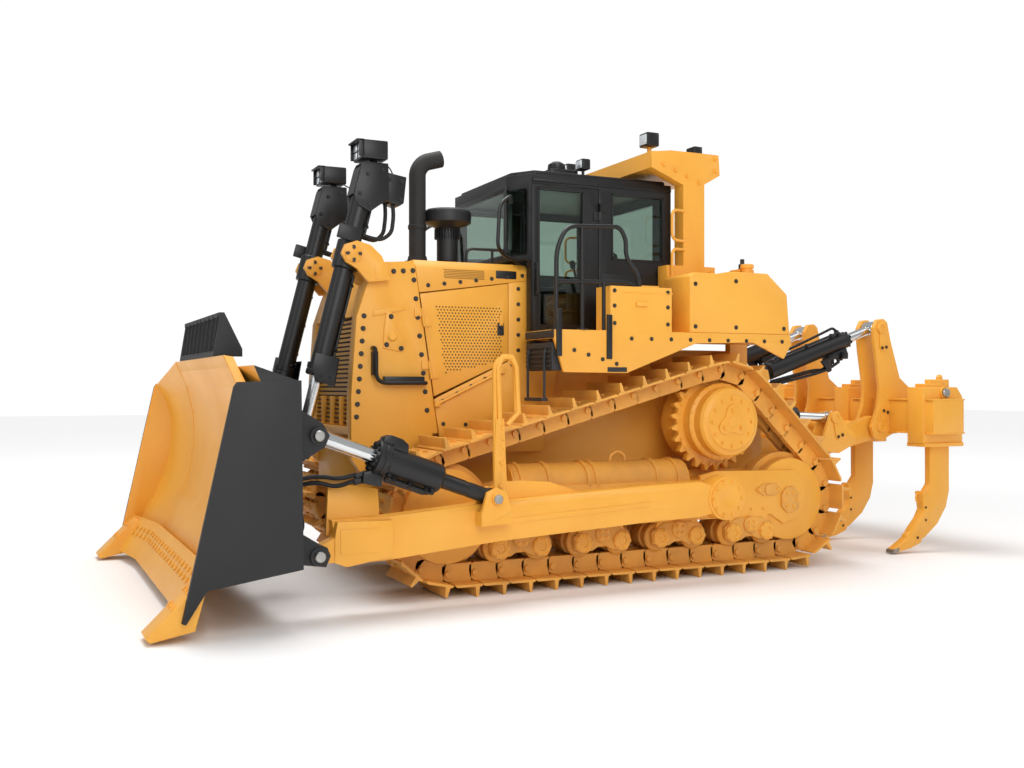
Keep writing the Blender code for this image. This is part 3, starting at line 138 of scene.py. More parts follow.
def sprayed(name, colour, shade, roughness, patch=0.7, peel=0.012, relief=0.06, metallic=0.0, coat=0.0):
    """Paint or bare metal: tone drifts over patch metres, relief stands on a grain of peel metres."""
    look = bpy.data.materials.new(name)
    look.use_nodes = True
    tree = look.node_tree
    skin = tree.nodes["Principled BSDF"]
    place = put(tree, "ShaderNodeTexCoord").outputs["Object"]
    drift = put(tree, "ShaderNodeTexNoise", None, {"Vector": place, "Scale": 1 / patch, "Detail": 5.0})
    spread = put(tree, "ShaderNodeMapRange", None, {0: drift.outputs["Fac"], 1: 0.3, 2: 0.7})
    tone = put(tree, "ShaderNodeMix", {"data_type": "RGBA"},
               {0: spread.outputs[0], 6: linear(colour), 7: linear(shade)})
    grain = put(tree, "ShaderNodeTexNoise", None, {"Vector": place, "Scale": 1 / peel, "Detail": 2.0})
    dull = put(tree, "ShaderNodeMapRange", None, {0: drift.outputs["Fac"], 3: roughness - 0.06,
                                                  4: roughness + 0.08})
    lift = put(tree, "ShaderNodeBump", None, {"Strength": relief, "Distance": 0.002,
                                              "Height": grain.outputs["Fac"]})
    tree.links.new(tone.outputs[2], skin.inputs["Base Color"])
    tree.links.new(dull.outputs[0], skin.inputs["Roughness"])
    tree.links.new(lift.outputs[0], skin.inputs["Normal"])
    skin.inputs["Metallic"].default_value = metallic
    skin.inputs["Coat Weight"].default_value = coat
    return look


machine_enamel = sprayed("satin_machine_enamel", "F1AF42", "E8A234", 0.42, coat=0.05)
# black enamel on cylinders, rails and the cab: semi-gloss, so it shows long soft lights
black_enamel = sprayed("semi_gloss_black_enamel", "0C0C0D", "101011", 0.38)


def finished(name, mesh, look, body, smooth=35):
    """A piece from mesh data that is already in its place in the frame."""
    made = bpy.data.objects.new(name, mesh)
    bpy.context.scene.collection.objects.link(made)
    mesh.materials.clear()
    mesh.materials.append(look)
    mesh.shade_smooth()
    mesh.set_sharp_from_angle(angle=math.radians(smooth))
    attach(made, body)
    return made


def joined(name, shapes, look, body, smooth=35):
    """One piece from several closed shapes, given by station."""
    whole = bpy.data.meshes.new(name)
    total = bmesh.new()
    for shape in shapes:
        shape.to_mesh(whole)
        shape.free()
        total.from_mesh(whole)
    total.to_mesh(whole)
    total.free()
    whole.transform(Matrix.Translation(AHEAD))
    return finished(name, whole, look, body, smooth)


def bevelled(shape, width, segments=2, angle=28):
    """Rounds the shape's sharp edges by width."""
    sharp = [e for e in shape.edges if len(e.link_faces) == 2 and e.calc_face_angle(0) > math.radians(angle)]
    if width and sharp:
        bmesh.ops.bevel(shape, geom=sharp, offset=width, segments=segments, profile=0.5, affect="EDGES",
                        clamp_overlap=True)
    return shape


def plate(outline, start, end, axis="Y", width=0.004):
    """A flat piece of this outline, from start to end along the axis, its edges rounded."""
    shape = bmesh.new()
    place = {"X": lambda a, b, t: (t, a, b), "Y": lambda a, b, t: (a, t, b), "Z": lambda a, b,
             t: (a, b, t)}[axis]
    near = shape.faces.new([shape.verts.new(place(a, b, start)) for a, b in outline])
    far = bmesh.ops.extrude_face_region(shape, geom=[near])
    moved = [v for v in far["geom"] if isinstance(v, bmesh.types.BMVert)]
    bmesh.ops.translate(shape, verts=moved, vec=Vector(place(0, 0, end - start)))
    bmesh.ops.recalc_face_normals(shape, faces=shape.faces)
    return bevelled(shape, width)


def block(x0, x1, y0, y1, z0, z1, width=0.006):
    return plate([(x0, z0), (x1, z0), (x1, z1), (x0, z1)], y0, y1, "Y", width)


def turned(profile, base, along, sides=32):
    """A profile of (radius, height) spun about the line from base along this direction."""
    shape = bmesh.new()
    turn = Vector(along).normalized().to_track_quat("Z", "Y").to_matrix()
    rings = []
    for radius, height in profile:
        if radius < 1e-6:
            rings.append([shape.verts.new(turn @ Vector((0, 0, height)) + Vector(base))])
            continue
        rings.append([shape.verts.new(turn @ Vector((radius * math.cos(a), radius * math.sin(a),
                                                     height)) + Vector(base))
                      for a in (2 * math.pi * k / sides for k in range(sides))])
    for low, high in zip(rings, rings[1:]):
        for k in range(sides):
            here, after = k % len(low), (k + 1) % len(low)
            up, up_after = k % len(high), (k + 1) % len(high)
            corners = [low[here], low[after], high[up_after], high[up]]
            shape.faces.new(list(dict.fromkeys(corners)))
    if profile[0] == profile[-1]:
        bmesh.ops.remove_doubles(shape, verts=rings[0] + rings[-1], dist=1e-6)
    else:
        for ring in (rings[0], rings[-1]):
            if len(ring) > 1:
                shape.faces.new(ring)
    bmesh.ops.recalc_face_normals(shape, faces=shape.faces)
    return shape


def rod(start, end, radius, sides=20, chamfer=0.0):
    length = (Vector(end) - Vector(start)).length
    profile = [(0, 0), (radius - chamfer, 0), (radius, chamfer), (radius, length - chamfer),
               (radius - chamfer, length),
               (0, length)] if chamfer else [(0, 0), (radius, 0), (radius, length), (0, length)]
    return turned(profile, start, Vector(end) - Vector(start), sides)


def tube(route, radius, sides=10, rounds=6):
    """A bent round bar along a route, its corners turned on a smooth curve."""
    points = [Vector(p) for p in route]
    if rounds and len(points) > 2:
        smooth = [points[0]]
        for before, corner, after in zip(points, points[1:], points[2:]):
            reach = min((corner - before).length, (after - corner).length) * 0.45
            reach = min(reach, radius * 5)
            a = corner + (before - corner).normalized() * reach
            b = corner + (after - corner).normalized() * reach
            smooth += [(a * (1 - t) + corner * t) * (1 - t) + (corner * (1 - t) + b * t) * t
                       for t in (k / rounds for k in range(rounds + 1))]
        points = smooth + [points[-1]]
    shape = bmesh.new()
    across = (points[1] - points[0]).normalized().orthogonal()
    rings = []
    for i, point in enumerate(points):
        along = (points[min(i + 1, len(points) - 1)] - points[max(i - 1, 0)]).normalized()
        across = (across - along * across.dot(along)).normalized()
        side = along.cross(across)
        rings.append([shape.verts.new(point + (across * math.cos(a) + side * math.sin(a)) * radius)
                      for a in (2 * math.pi * k / sides for k in range(sides))])
    for low, high in zip(rings, rings[1:]):
        for k in range(sides):
            shape.faces.new((low[k], low[(k + 1) % sides], high[(k + 1) % sides], high[k]))
    shape.faces.new(rings[0])
    shape.faces.new(rings[-1])
    bmesh.ops.recalc_face_normals(shape, faces=shape.faces)
    return shape


def softened(node, look, width=0.006, smooth=35):
    """A copy of a frame piece with its edges rounded, which stands for it."""
    source = frame["nodes"][node]
    shape = bmesh.new()
    shape.from_mesh(source.data)
    bmesh.ops.remove_doubles(shape, verts=shape.verts, dist=0.0004)
    bmesh.ops.dissolve_limit(shape, angle_limit=math.radians(0.8), verts=shape.verts, edges=shape.edges)
    sharp = [e for e in shape.edges if len(e.link_faces) == 2 and e.calc_face_angle(0) > math.radians(28)
             and e.calc_length() > 3 * width]
    bmesh.ops.bevel(shape, geom=sharp, offset=width, segments=2, profile=0.5, affect="EDGES",
                    clamp_overlap=True)
    mesh = bpy.data.meshes.new(node + "_body")
    shape.to_mesh(mesh)
    shape.free()
    made = finished(node + "_body", mesh, look, source["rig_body"], smooth)
    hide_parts(node)
    return made


def painted(node, look):
    """Gives a frame piece this finish as it stands."""
    data = frame["nodes"][node].data
    data.materials.clear()
    data.materials.append(look)


bolt_tree = bpy.data.node_groups.new("hexagon_bolts", "GeometryNodeTree")
for socket_name, socket_kind in (("Geometry", "NodeSocketGeometry"), ("Across flats", "NodeSocketFloat"),
                                 ("Head height", "NodeSocketFloat"), ("Finish", "NodeSocketMaterial")):
    bolt_tree.interface.new_socket(socket_name, in_out="INPUT", socket_type=socket_kind)
bolt_tree.interface.new_socket("Geometry", in_out="OUTPUT", socket_type="NodeSocketGeometry")
given = put(bolt_tree, "NodeGroupInput").outputs
facing = put(bolt_tree, "GeometryNodeInputNamedAttribute", {"data_type": "FLOAT_VECTOR"},
             {"Name": "facing"})
half = put(bolt_tree, "ShaderNodeMath", {"operation": "MULTIPLY"}, {0: given["Across flats"], 1: 0.577})
flange = put(bolt_tree, "ShaderNodeMath", {"operation": "MULTIPLY"}, {0: given["Across flats"], 1: 0.85})
thin = put(bolt_tree, "ShaderNodeMath", {"operation": "MULTIPLY"}, {0: given["Head height"], 1: 0.5})
head = put(bolt_tree, "GeometryNodeMeshCylinder", None,
           {"Vertices": 6, "Radius": half.outputs[0], "Depth": given["Head height"]})
washer = put(bolt_tree, "GeometryNodeMeshCylinder", None,
             {"Vertices": 12, "Radius": flange.outputs[0], "Depth": thin.outputs[0]})
up = put(bolt_tree, "ShaderNodeCombineXYZ", None, {"Z": thin.outputs[0]})
raised = put(bolt_tree, "GeometryNodeTransform", None,
             {"Geometry": head.outputs["Mesh"], "Translation": up.outputs[0]})
bolt = put(bolt_tree, "GeometryNodeJoinGeometry")
bolt_tree.links.new(raised.outputs[0], bolt.inputs[0])
bolt_tree.links.new(washer.outputs["Mesh"], bolt.inputs[0])
aimed = put(bolt_tree, "FunctionNodeAlignRotationToVector", {"axis": "Z"},
            {"Vector": facing.outputs["Attribute"]})
placed = put(bolt_tree, "GeometryNodeInstanceOnPoints", None,
             {"Points": given["Geometry"], "Instance": bolt.outputs[0], "Rotation": aimed.outputs[0]})
real = put(bolt_tree, "GeometryNodeRealizeInstances", None, {"Geometry": placed.outputs[0]})
coated = put(bolt_tree, "GeometryNodeSetMaterial", None,
             {"Geometry": real.outputs[0], "Material": given["Finish"]})
put(bolt_tree, "NodeGroupOutput", None, {"Geometry": coated.outputs[0]})


def grown(name, spots, tree, values, look, body, along=None):
    """What a tree grows on these spots, as a plain mesh; a spot is a place by station and a way out."""
    cloud = bpy.data.meshes.new(name)
    cloud.from_pydata([Vector(place) + AHEAD for place, _ in spots], [], [])
    cloud.attributes.new("facing", "FLOAT_VECTOR", "POINT").data.foreach_set(
        "vector", [c for _, direction in spots for c in direction])
    if along:
        cloud.attributes.new("along", "FLOAT_VECTOR", "POINT").data.foreach_set(
            "vector", [c for direction in along for c in direction])
    made = bpy.data.objects.new(name + "_cloud", cloud)
    bpy.context.scene.collection.objects.link(made)
    step = made.modifiers.new("grown", "NODES")
    step.node_group = tree
    sockets = {item.name: item.identifier for item in tree.interface.items_tree if item.in_out == "INPUT"}
    for key, value in {**values, "Finish": look}.items():
        step[sockets[key]] = value
    mesh = bpy.data.meshes.new_from_object(made.evaluated_get(bpy.context.evaluated_depsgraph_get()))
    bpy.data.objects.remove(made, do_unlink=True)
    mesh.name = name
    return finished(name, mesh, look, body)


def bolts(name, spots, look=None, body="tractor", across=0.030, height=0.018):
    return grown(name, spots, bolt_tree, {"Across flats": across, "Head height": height},
                 look or machine_enamel, body)


def row(start, end, count, facing):
    """Evenly spaced spots from start to end, both included."""
    start, end = Vector(start), Vector(end)
    return [(start.lerp(end, k / max(count - 1, 1)), facing) for k in range(count)]


def ring(centre, radius, count, side, first=0.0):
    """Spots on a bolt circle that faces sideways."""
    return [((centre[0] + radius * math.cos(a), centre[1], centre[2] + radius * math.sin(a)), (0, side, 0))
            for a in (first + 2 * math.pi * k / count for k in range(count))]


softened("main_frame", machine_enamel, 0.008)
painted("engine", machine_enamel)

# Tracks: forged shoes with one bar each, bolted to two rows of links that turn on sealed pins. A shoe
# repeats at each pitch round the loop. The same enamel covers them, but it lies rough on the forged steel
# and is dusty.
track_enamel = sprayed("dusty_enamel_on_forged_steel", "F0AE48", "CF9444", 0.55, patch=0.35, peel=0.02,
                       relief=0.35)
PITCH = 0.24
PIN_RADIUS = 0.4745
IDLER_Z = 0.645
WHEELS = ((-1.42, IDLER_Z), (-1.42 + 3.47, IDLER_Z), (-0.661, IDLER_Z + 0.738))
GAUGE_HALF = 1.125
loop = []
for wheel_number, wheel in enumerate(WHEELS):
    wheel, before = Vector(wheel), Vector(WHEELS[wheel_number - 1])
    after = Vector(WHEELS[(wheel_number + 1) % 3])
    first = math.atan2((wheel - before).y, (wheel - before).x) - math.pi / 2
    last = math.atan2((after - wheel).y, (after - wheel).x) - math.pi / 2
    turn = (last - first) % (2 * math.pi)
    loop += [(PIN_RADIUS * turn, wheel, first, True), ((after - wheel).length, wheel, last, False)]
loop_length = sum(size for size, *_ in loop)
shoe_count = round(loop_length / PITCH)


def pin_at(distance):
    for size, wheel, angle, curved in loop:
        if distance <= size:
            break
        distance -= size
    angle += distance / PIN_RADIUS if curved else 0
    out = Vector((math.cos(angle), math.sin(angle)))
    return wheel + out * PIN_RADIUS + Vector((-out.y, out.x)) * (0 if curved else distance)


pins = [pin_at((loop_length * k / shoe_count + 0.016) % loop_length) for k in range(shoe_count)]
shoe_spots = {side: ([], []) for side in (1, -1)}
for here, after in zip(pins, pins[1:] + pins[:1]):
    middle, forward = (here + after) / 2, (after - here).normalized()
    for side, (spots, forwards) in shoe_spots.items():
        spots.append(((middle.x, side * GAUGE_HALF, middle.y), (forward.y, 0, -forward.x)))
        forwards.append((forward.x, 0, forward.y))

shoe_top = 0.0865
shoe_section = [(-0.1175, 0.0665), (-0.1175, 0.0800), (-0.110, shoe_top), (-0.094, shoe_top + 0.004),
                (-0.0835, 0.165),
                (-0.079, 0.1700), (-0.068, 0.1700), (-0.064, 0.164), (-0.055, shoe_top + 0.004), (-0.045,
                                                                                                  shoe_top),
                (0.098, shoe_top), (0.1175, 0.0735), (0.1175, 0.060), (0.100, 0.0665)]
link_section = [(-0.152, -0.02), (-0.148, -0.060), (-0.110, -0.0830), (0.110, -0.0830), (0.148, -0.060),
                (0.152, -0.02), (0.140, 0.035), (0.105, 0.0665), (-0.105, 0.0665), (-0.140, 0.035)]
shoe_shapes = [plate(shoe_section, -0.305, 0.305, "Y", 0.0)]
for link_y in (-0.095, 0.095):
    out = 0.0165 if link_y > 0 else -0.0165
    shoe_shapes.append(plate([(x, z) for x, z in link_section if x < 0.12],
                             link_y - out - 0.016, link_y - out + 0.016, "Y", 0.0))
    shoe_shapes.append(plate([(x + 0.018, z) for x, z in link_section if x > -0.12],
                             link_y + out - 0.016, link_y + out + 0.016, "Y", 0.0))
    for bolt_x in (-0.025, 0.065):
        for bolt_y in (link_y - 0.03, link_y + 0.03):
            shoe_shapes.append(turned([(0, 0), (0.017, 0), (0.017, 0.014), (0, 0.014)],
                                      (bolt_x, bolt_y, shoe_top), (0, 0, 1), 6))
shoe_shapes.append(rod((0.12, -0.152, 0), (0.12, 0.152, 0), 0.028, 10))
shoe_shapes.append(rod((-0.12, -0.06, 0), (-0.12, 0.06, 0), 0.036, 10))
shoe_mesh = bpy.data.meshes.new("track_shoe")
shoe_total = bmesh.new()
for shape in shoe_shapes:
    shape.to_mesh(shoe_mesh)
    shape.free()
    shoe_total.from_mesh(shoe_mesh)
shoe_total.to_mesh(shoe_mesh)
shoe_total.free()
shoe = bpy.data.objects.new("track_shoe", shoe_mesh)

pattern_tree = bpy.data.node_groups.new("pattern_on_spots", "GeometryNodeTree")
for socket_name, socket_kind in (("Geometry", "NodeSocketGeometry"), ("Pattern", "NodeSocketObject"),
                                 ("Finish", "NodeSocketMaterial")):
    pattern_tree.interface.new_socket(socket_name, in_out="INPUT", socket_type=socket_kind)
pattern_tree.interface.new_socket("Geometry", in_out="OUTPUT", socket_type="NodeSocketGeometry")
given = put(pattern_tree, "NodeGroupInput").outputs
facing = put(pattern_tree, "GeometryNodeInputNamedAttribute", {"data_type": "FLOAT_VECTOR"},
             {"Name": "facing"})
along = put(pattern_tree, "GeometryNodeInputNamedAttribute", {"data_type": "FLOAT_VECTOR"},
            {"Name": "along"})
turn = put(pattern_tree, "FunctionNodeAxesToRotation", {"primary_axis": "Z", "secondary_axis": "X"},
           {0: facing.outputs["Attribute"], 1: along.outputs["Attribute"]})
pattern = put(pattern_tree, "GeometryNodeObjectInfo", None, {"Object": given["Pattern"]})
placed = put(pattern_tree, "GeometryNodeInstanceOnPoints", None,
             {"Points": given["Geometry"], "Instance": pattern.outputs["Geometry"],
              "Rotation": turn.outputs[0]})
real = put(pattern_tree, "GeometryNodeRealizeInstances", None, {"Geometry": placed.outputs[0]})
coated = put(pattern_tree, "GeometryNodeSetMaterial", None,
             {"Geometry": real.outputs[0], "Material": given["Finish"]})
put(pattern_tree, "NodeGroupOutput", None, {"Geometry": coated.outputs[0]})
for side, mark in ((1, "L"), (-1, "R")):
    spots, forwards = shoe_spots[side]
    chain = grown(f"track_chain_{mark}", spots, pattern_tree, {"Pattern": shoe}, track_enamel, "tractor",
                  forwards)
    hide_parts(f"track_{mark}")
bpy.data.objects.remove(shoe, do_unlink=True)

# Roller frames: box sections with a recoil tube on top, cast idlers at both ends and flanged rollers hung
# in pairs on rocking bogies. Every pin has a bolted cap, and the tube has clamping bands and a lifting
# loop.
ROLLER_Z = 0.2553 + 0.11
for side, mark in ((1, "L"), (-1, "R")):
    softened(f"track_frame_{mark}", machine_enamel, 0.006)
    y = side * GAUGE_HALF
    shapes, caps, frame_bolts = [], [], []
    face = side * (GAUGE_HALF + 0.205)
    outer = side * (GAUGE_HALF + 0.178)
    for bogie in range(4):
        bogie_x = -0.93 + bogie * 0.78
        # bogie arm: a rounded casting between its two rollers, with its pin's cap
        arm = [(bogie_x - 0.27, ROLLER_Z - 0.06), (bogie_x - 0.10, ROLLER_Z - 0.075),
               (bogie_x, ROLLER_Z - 0.02),
               (bogie_x + 0.10, ROLLER_Z - 0.075), (bogie_x + 0.27, ROLLER_Z - 0.06), (bogie_x + 0.28,
                                                                                       ROLLER_Z + 0.05),
               (bogie_x + 0.15, ROLLER_Z + 0.13), (bogie_x - 0.15, ROLLER_Z + 0.13), (bogie_x - 0.28,
                                                                                      ROLLER_Z + 0.05)]
        shapes.append(plate(arm, *sorted((outer, outer + side * 0.045)), "Y", 0.008))
        shapes.append(turned([(0, 0), (0.075, 0), (0.075, 0.018), (0.06, 0.032), (0, 0.032)],
                             (bogie_x, outer + side * 0.045, ROLLER_Z + 0.065), (0, side, 0), 24))
        frame_bolts += ring((bogie_x, outer + side * 0.078, ROLLER_Z + 0.065), 0.04, 4, side, math.pi / 4)
        for offset in (-0.19, 0.19):
            x = bogie_x + offset
            shapes.append(turned([(0, -0.176), (0.112, -0.176), (0.128, -0.16), (0.128, -0.135),
                                  (0.1118, -0.125),
                                  (0.1118, -0.06), (0.128, -0.05), (0.128, 0.05), (0.1118, 0.06), (0.1118,
                                                                                                   0.125),
                                  (0.128, 0.135), (0.128, 0.16), (0.112, 0.176), (0, 0.176)], (x, y,
                                                                                               ROLLER_Z),
                                 (0, 1, 0), 28))
            caps.append(turned([(0, 0), (0.082, 0), (0.082, 0.014), (0.062, 0.026), (0.040, 0.026),
                                (0.034, 0.016),
                                (0, 0.016)], (x, outer + side * 0.045, ROLLER_Z), (0, side, 0), 24))
            frame_bolts += ring((x, outer + side * 0.062, ROLLER_Z), 0.068, 6, side)
    # idlers: a dished rim with a raised hub and a centre tread between the links
    rim = PIN_RADIUS - 0.0845 - 0.002
    for x in (WHEELS[0][0], WHEELS[1][0]):
        shapes.append(turned([(0, -0.15), (0.09, -0.15), (0.10, -0.10), (0.28, -0.09), (0.31, -0.155),
                              (rim, -0.155),
                              (rim, -0.055), (rim + 0.05, -0.05), (rim + 0.05, 0.05), (rim, 0.055), (rim,
                                                                                                     0.155),
                              (0.31, 0.155), (0.28, 0.09), (0.10, 0.10), (0.09, 0.15), (0, 0.15)], (x, y,
                                                                                                    IDLER_Z),
                             (0, 1, 0), 48))
    # recoil tube with its bands and the loop it is lifted by
    shapes.append(rod((-0.29, y, 0.86), (1.45, y, 0.86), 0.186, 36, 0.01))
    for x in (-0.20, 0.02, 0.64, 0.72, 1.10, 1.36):
        shapes.append(turned([(0, 0), (0.196, 0), (0.202, 0.006), (0.202, 0.034), (0.196, 0.04), (0, 0.04)],
                             (x, y, 0.86), (1, 0, 0), 36))
    shapes.append(tube([(0.28, y, 1.03), (0.28, y, 1.09), (0.355, y, 1.135), (0.43, y, 1.09),
                        (0.43, y, 1.03)], 0.016))
    shapes.append(rod((1.42, y, 0.81), (1.66, y, 0.755), 0.135, 28))
    # covers on the outside of the frame behind the arm
    shapes.append(plate([(-1.30, 0.745), (-1.24, 0.80), (-1.09, 0.80), (-1.00, 0.745), (-1.09, 0.69),
                         (-1.24, 0.69)],
                        *sorted((face, face + side * 0.014)), "Y", 0.004))
    shapes.append(turned([(0, 0), (0.05, 0), (0.05, 0.02), (0.035, 0.026), (0, 0.026)],
                         (-1.15, face + side * 0.01, 0.745), (0, side, 0), 20))
    frame_bolts += [((x, face + side * 0.014, z), (0, side, 0)) for x,
                    z in ((-1.26, 0.745), (-1.04, 0.745))]
    shapes.append(plate([(-1.50, 0.55), (-1.44, 0.52), (-1.36, 0.52), (-1.30, 0.58), (-1.30, 0.70),
                         (-1.36, 0.76),
                         (-1.44, 0.76), (-1.50, 0.70)], *sorted((face, face + side * 0.02)), "Y", 0.006))
    frame_bolts += ring((-1.40, face + side * 0.02, 0.64), 0.075, 6, side)
    frame_bolts += row((-0.55, face, 0.57), (-1.10, face, 0.57), 5, (0, side, 0))
    frame_bolts += row((1.36, face, 0.60), (2.05, face, 0.60), 4, (0, side, 0))
    frame_bolts += row((1.36, face, 0.76), (1.90, face, 0.72), 3, (0, side, 0))
    joined(f"roller_frame_castings_{mark}", shapes, track_enamel, "tractor")
    joined(f"roller_caps_{mark}", caps, machine_enamel, "tractor")
    bolts(f"roller_frame_bolts_{mark}", frame_bolts, across=0.022, height=0.012)

# Final drives: a ring of bolted sprocket segments round a planetary hub, whose end cover is held by two
# circles of bolts and carries a three-lobed plate over the sun gear.
HUB = (-0.661, IDLER_Z + 0.738)
HUB_INNER_Y = 0.6208     # where the hub begins, beside the hull
HUB_DEPTH = 0.826        # from there out to the face of its end cover
for side, mark in ((1, "L"), (-1, "R")):
    teeth = []
    for tooth in range(25):
        for radius, part in ((0.402, 0.02), (0.404, 0.16), (0.452, 0.34), (0.462, 0.42), (0.462, 0.54),
                             (0.452, 0.62), (0.404, 0.80)):
            angle = 2 * math.pi * (tooth + part) / 25
            teeth.append((HUB[0] + radius * math.cos(angle), HUB[1] + radius * math.sin(angle)))
    y = side * GAUGE_HALF
    shapes = [plate(teeth, y - 0.036, y + 0.036, "Y", 0.003)]
    shapes.append(turned([(0, 0), (0.24, 0), (0.24, 0.22), (0.36, 0.23), (0.385, 0.25), (0.385, 0.40),
                          (0.372, 0.42), (0.345, 0.43), (0.343, 0.60), (0.338, 0.62), (0.352, 0.625),
                          (0.352, 0.66), (0.34, 0.672), (0.318, 0.680), (0.318, 0.775), (0.30, 0.80),
                          (0.262, 0.812), (0.25, HUB_DEPTH), (0, HUB_DEPTH)],
                         (HUB[0], side * HUB_INNER_Y, HUB[1]), (0, side, 0), 56))
    hub_face = side * (HUB_INNER_Y + HUB_DEPTH)
    lobes = []
    for step in range(48):
        angle = 2 * math.pi * step / 48
        radius = 0.125 + 0.035 * math.cos(3 * (angle - math.pi / 2))
        lobes.append((HUB[0] + radius * math.cos(angle), HUB[1] + radius * math.sin(angle)))
    shapes.append(plate(lobes, *sorted((hub_face, hub_face + side * 0.012)), "Y", 0.003))
    shapes.append(turned([(0, 0), (0.052, 0), (0.052, 0.016), (0.04, 0.024), (0, 0.024)],
                         (HUB[0], hub_face, HUB[1]), (0, side, 0), 24))
    hub_piece = joined(f"final_drive_hub_{mark}", shapes, machine_enamel, "tractor")
    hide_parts(f"final_drive_{mark}")
    hub_y = side * (0.6208 + 0.66)
    hub_bolts = ring((HUB[0], hub_y, HUB[1]), 0.335, 24, side) + ring((HUB[0], hub_face, HUB[1]), 0.215, 12,
                                                                      side)
    hub_bolts += ring((HUB[0], side * (GAUGE_HALF + 0.036), HUB[1]), 0.395, 30, side)
    bolts(f"final_drive_bolts_{mark}", hub_bolts, across=0.024, height=0.014)
    bolts(f"final_drive_cover_bolts_{mark}", ring((HUB[0], hub_face + side * 0.012, HUB[1]), 0.105, 3, side,
                                                  math.pi / 2),
          across=0.03, height=0.016)

# Radiator guard: a heavy plate box round the radiator, with the lift cylinders' yokes on its shoulders, a
# louvred grille set back in its nose, bolted covers on its sides and a black step bar on the left.
softened("radiator_guard", machine_enamel, 0.008)
GUARD_Y = 0.72
matte_black = sprayed("matte_black_plate", "232325", "2C2C2D", 0.62, patch=0.5, peel=0.01, relief=0.1)
slat = bpy.data.objects.new("grille_slat", bpy.data.meshes.new("grille_slat"))
slat_shape = plate([(-0.032, -0.010), (0.018, 0.012), (0.020, 0.006), (-0.030, -0.016)], -0.575, 0.575, "Y",
                   0.0)
slat_shape.to_mesh(slat.data)
slat_spots = [(Vector((2.618 - 0.045 * k / 23, 0, 1.385 + 0.90 * k / 23)), (0, 0, 1)) for k in range(24)]
grown("grille_slats", slat_spots, pattern_tree, {"Pattern": slat}, matte_black, "tractor",
      [(1, 0, 0)] * 24)
bpy.data.objects.remove(slat, do_unlink=True)
guard_shapes = [block(2.60, 2.665, y - 0.012, y + 0.012, 1.37, 1.62, 0.002) for y in (-0.29, 0, 0.29)]
guard_bolts = []
for side in (1, -1):
    face = side * GUARD_Y
    cover = [(2.41, 2.03), (2.23, 2.00), (2.20, 2.10), (2.30, 2.20), (2.28, 2.32), (2.38, 2.34),
             (2.40, 2.20)]
    guard_shapes.append(plate(cover, *sorted((face, face + side * 0.014)), "Y", 0.004))
    guard_shapes.append(turned([(0, 0), (0.045, 0), (0.045, 0.02), (0.03, 0.035), (0, 0.035)],
                               (2.33, face, 2.13), (0, side, 0), 20))
    guard_shapes.append(plate([(2.50, 2.30), (2.20, 2.36), (2.20, 2.40), (2.49, 2.35)],
                              *sorted((face, face + side * 0.01)),
                              "Y", 0.003))
    guard_bolts += [((x, face + side * 0.014, z), (0, side, 0)) for x,
                    z in ((2.25, 2.03), (2.38, 2.06), (2.34, 2.30))]
    guard_bolts += row((2.575, face, 2.30), (2.64, face, 1.45), 9, (0, side, 0))
    guard_bolts += row((2.13, face, 2.62), (2.01, face, 1.50), 8, (0, side, 0))
    guard_bolts += row((2.14, face, 2.70), (2.40, face, 2.68), 4, (0, side, 0))
    guard_bolts += row((2.02, face, 1.08), (2.58, face, 1.12), 5, (0, side, 0))
    # yoke caps on the shoulders
    for plate_y in (0.445, 0.795):
        guard_shapes.append(turned([(0, 0), (0.075, 0), (0.075, 0.012), (0.055, 0.02), (0, 0.02)],
                                   (2.69, side * plate_y, 2.81), (0, side if plate_y > 0.62 else -side, 0),
                                   24))
        guard_bolts += [((2.69 + 0.05 * math.cos(a),
                          side * (plate_y + (0.012 if plate_y > 0.62 else -0.012)),
                          2.81 + 0.05 * math.sin(a)), (0, side if plate_y > 0.62 else -side, 0))
                        for a in (math.pi * k / 2 for k in range(4))]
joined("guard_covers", guard_shapes, machine_enamel, "tractor")
dark_bolts = sprayed("blackened_bolt_steel", "2E2921", "3B342A", 0.5, patch=0.1, peel=0.003, relief=0.1)
bolts("guard_bolts", guard_bolts, dark_bolts, across=0.026)
step_bar = [tube([(2.50, 0.715, 2.03), (2.50, 0.80, 2.03), (2.49, 0.80, 1.735), (2.04, 0.80, 1.735),
                  (2.04, 0.715, 1.735)],
                 0.018),
            block(2.06, 2.42, 0.745, 0.80, 1.73, 1.79, 0.004), block(2.465, 2.515, 0.72, 0.775, 1.80, 2.00,
                                                                     0.004)]
joined("guard_step_bar", step_bar, black_enamel, "tractor")

# Hood, side panels and engine doors: folded sheet. The door has a punched patch over a round screen, a
# paddle latch and a strut below it; a long punched slot and a plain black plate sit high on the hood's
# side. The holes of the patch and of the slot are drawn as dark discs on the sheet: painted shade of
# the openings.
softened("hood", machine_enamel, 0.006)
dot_tree = bpy.data.node_groups.new("punched_dots", "GeometryNodeTree")
for socket_name, socket_kind in (("Geometry", "NodeSocketGeometry"), ("Hole radius", "NodeSocketFloat"),
                                 ("Finish", "NodeSocketMaterial")):
    dot_tree.interface.new_socket(socket_name, in_out="INPUT", socket_type=socket_kind)
dot_tree.interface.new_socket("Geometry", in_out="OUTPUT", socket_type="NodeSocketGeometry")
given = put(dot_tree, "NodeGroupInput").outputs
facing = put(dot_tree, "GeometryNodeInputNamedAttribute", {"data_type": "FLOAT_VECTOR"}, {"Name": "facing"})
dot = put(dot_tree, "GeometryNodeMeshCylinder", None,
          {"Vertices": 8, "Radius": given["Hole radius"], "Depth": 0.0016})
aimed = put(dot_tree, "FunctionNodeAlignRotationToVector", {"axis": "Z"},
            {"Vector": facing.outputs["Attribute"]})
placed = put(dot_tree, "GeometryNodeInstanceOnPoints", None,
             {"Points": given["Geometry"], "Instance": dot.outputs["Mesh"], "Rotation": aimed.outputs[0]})
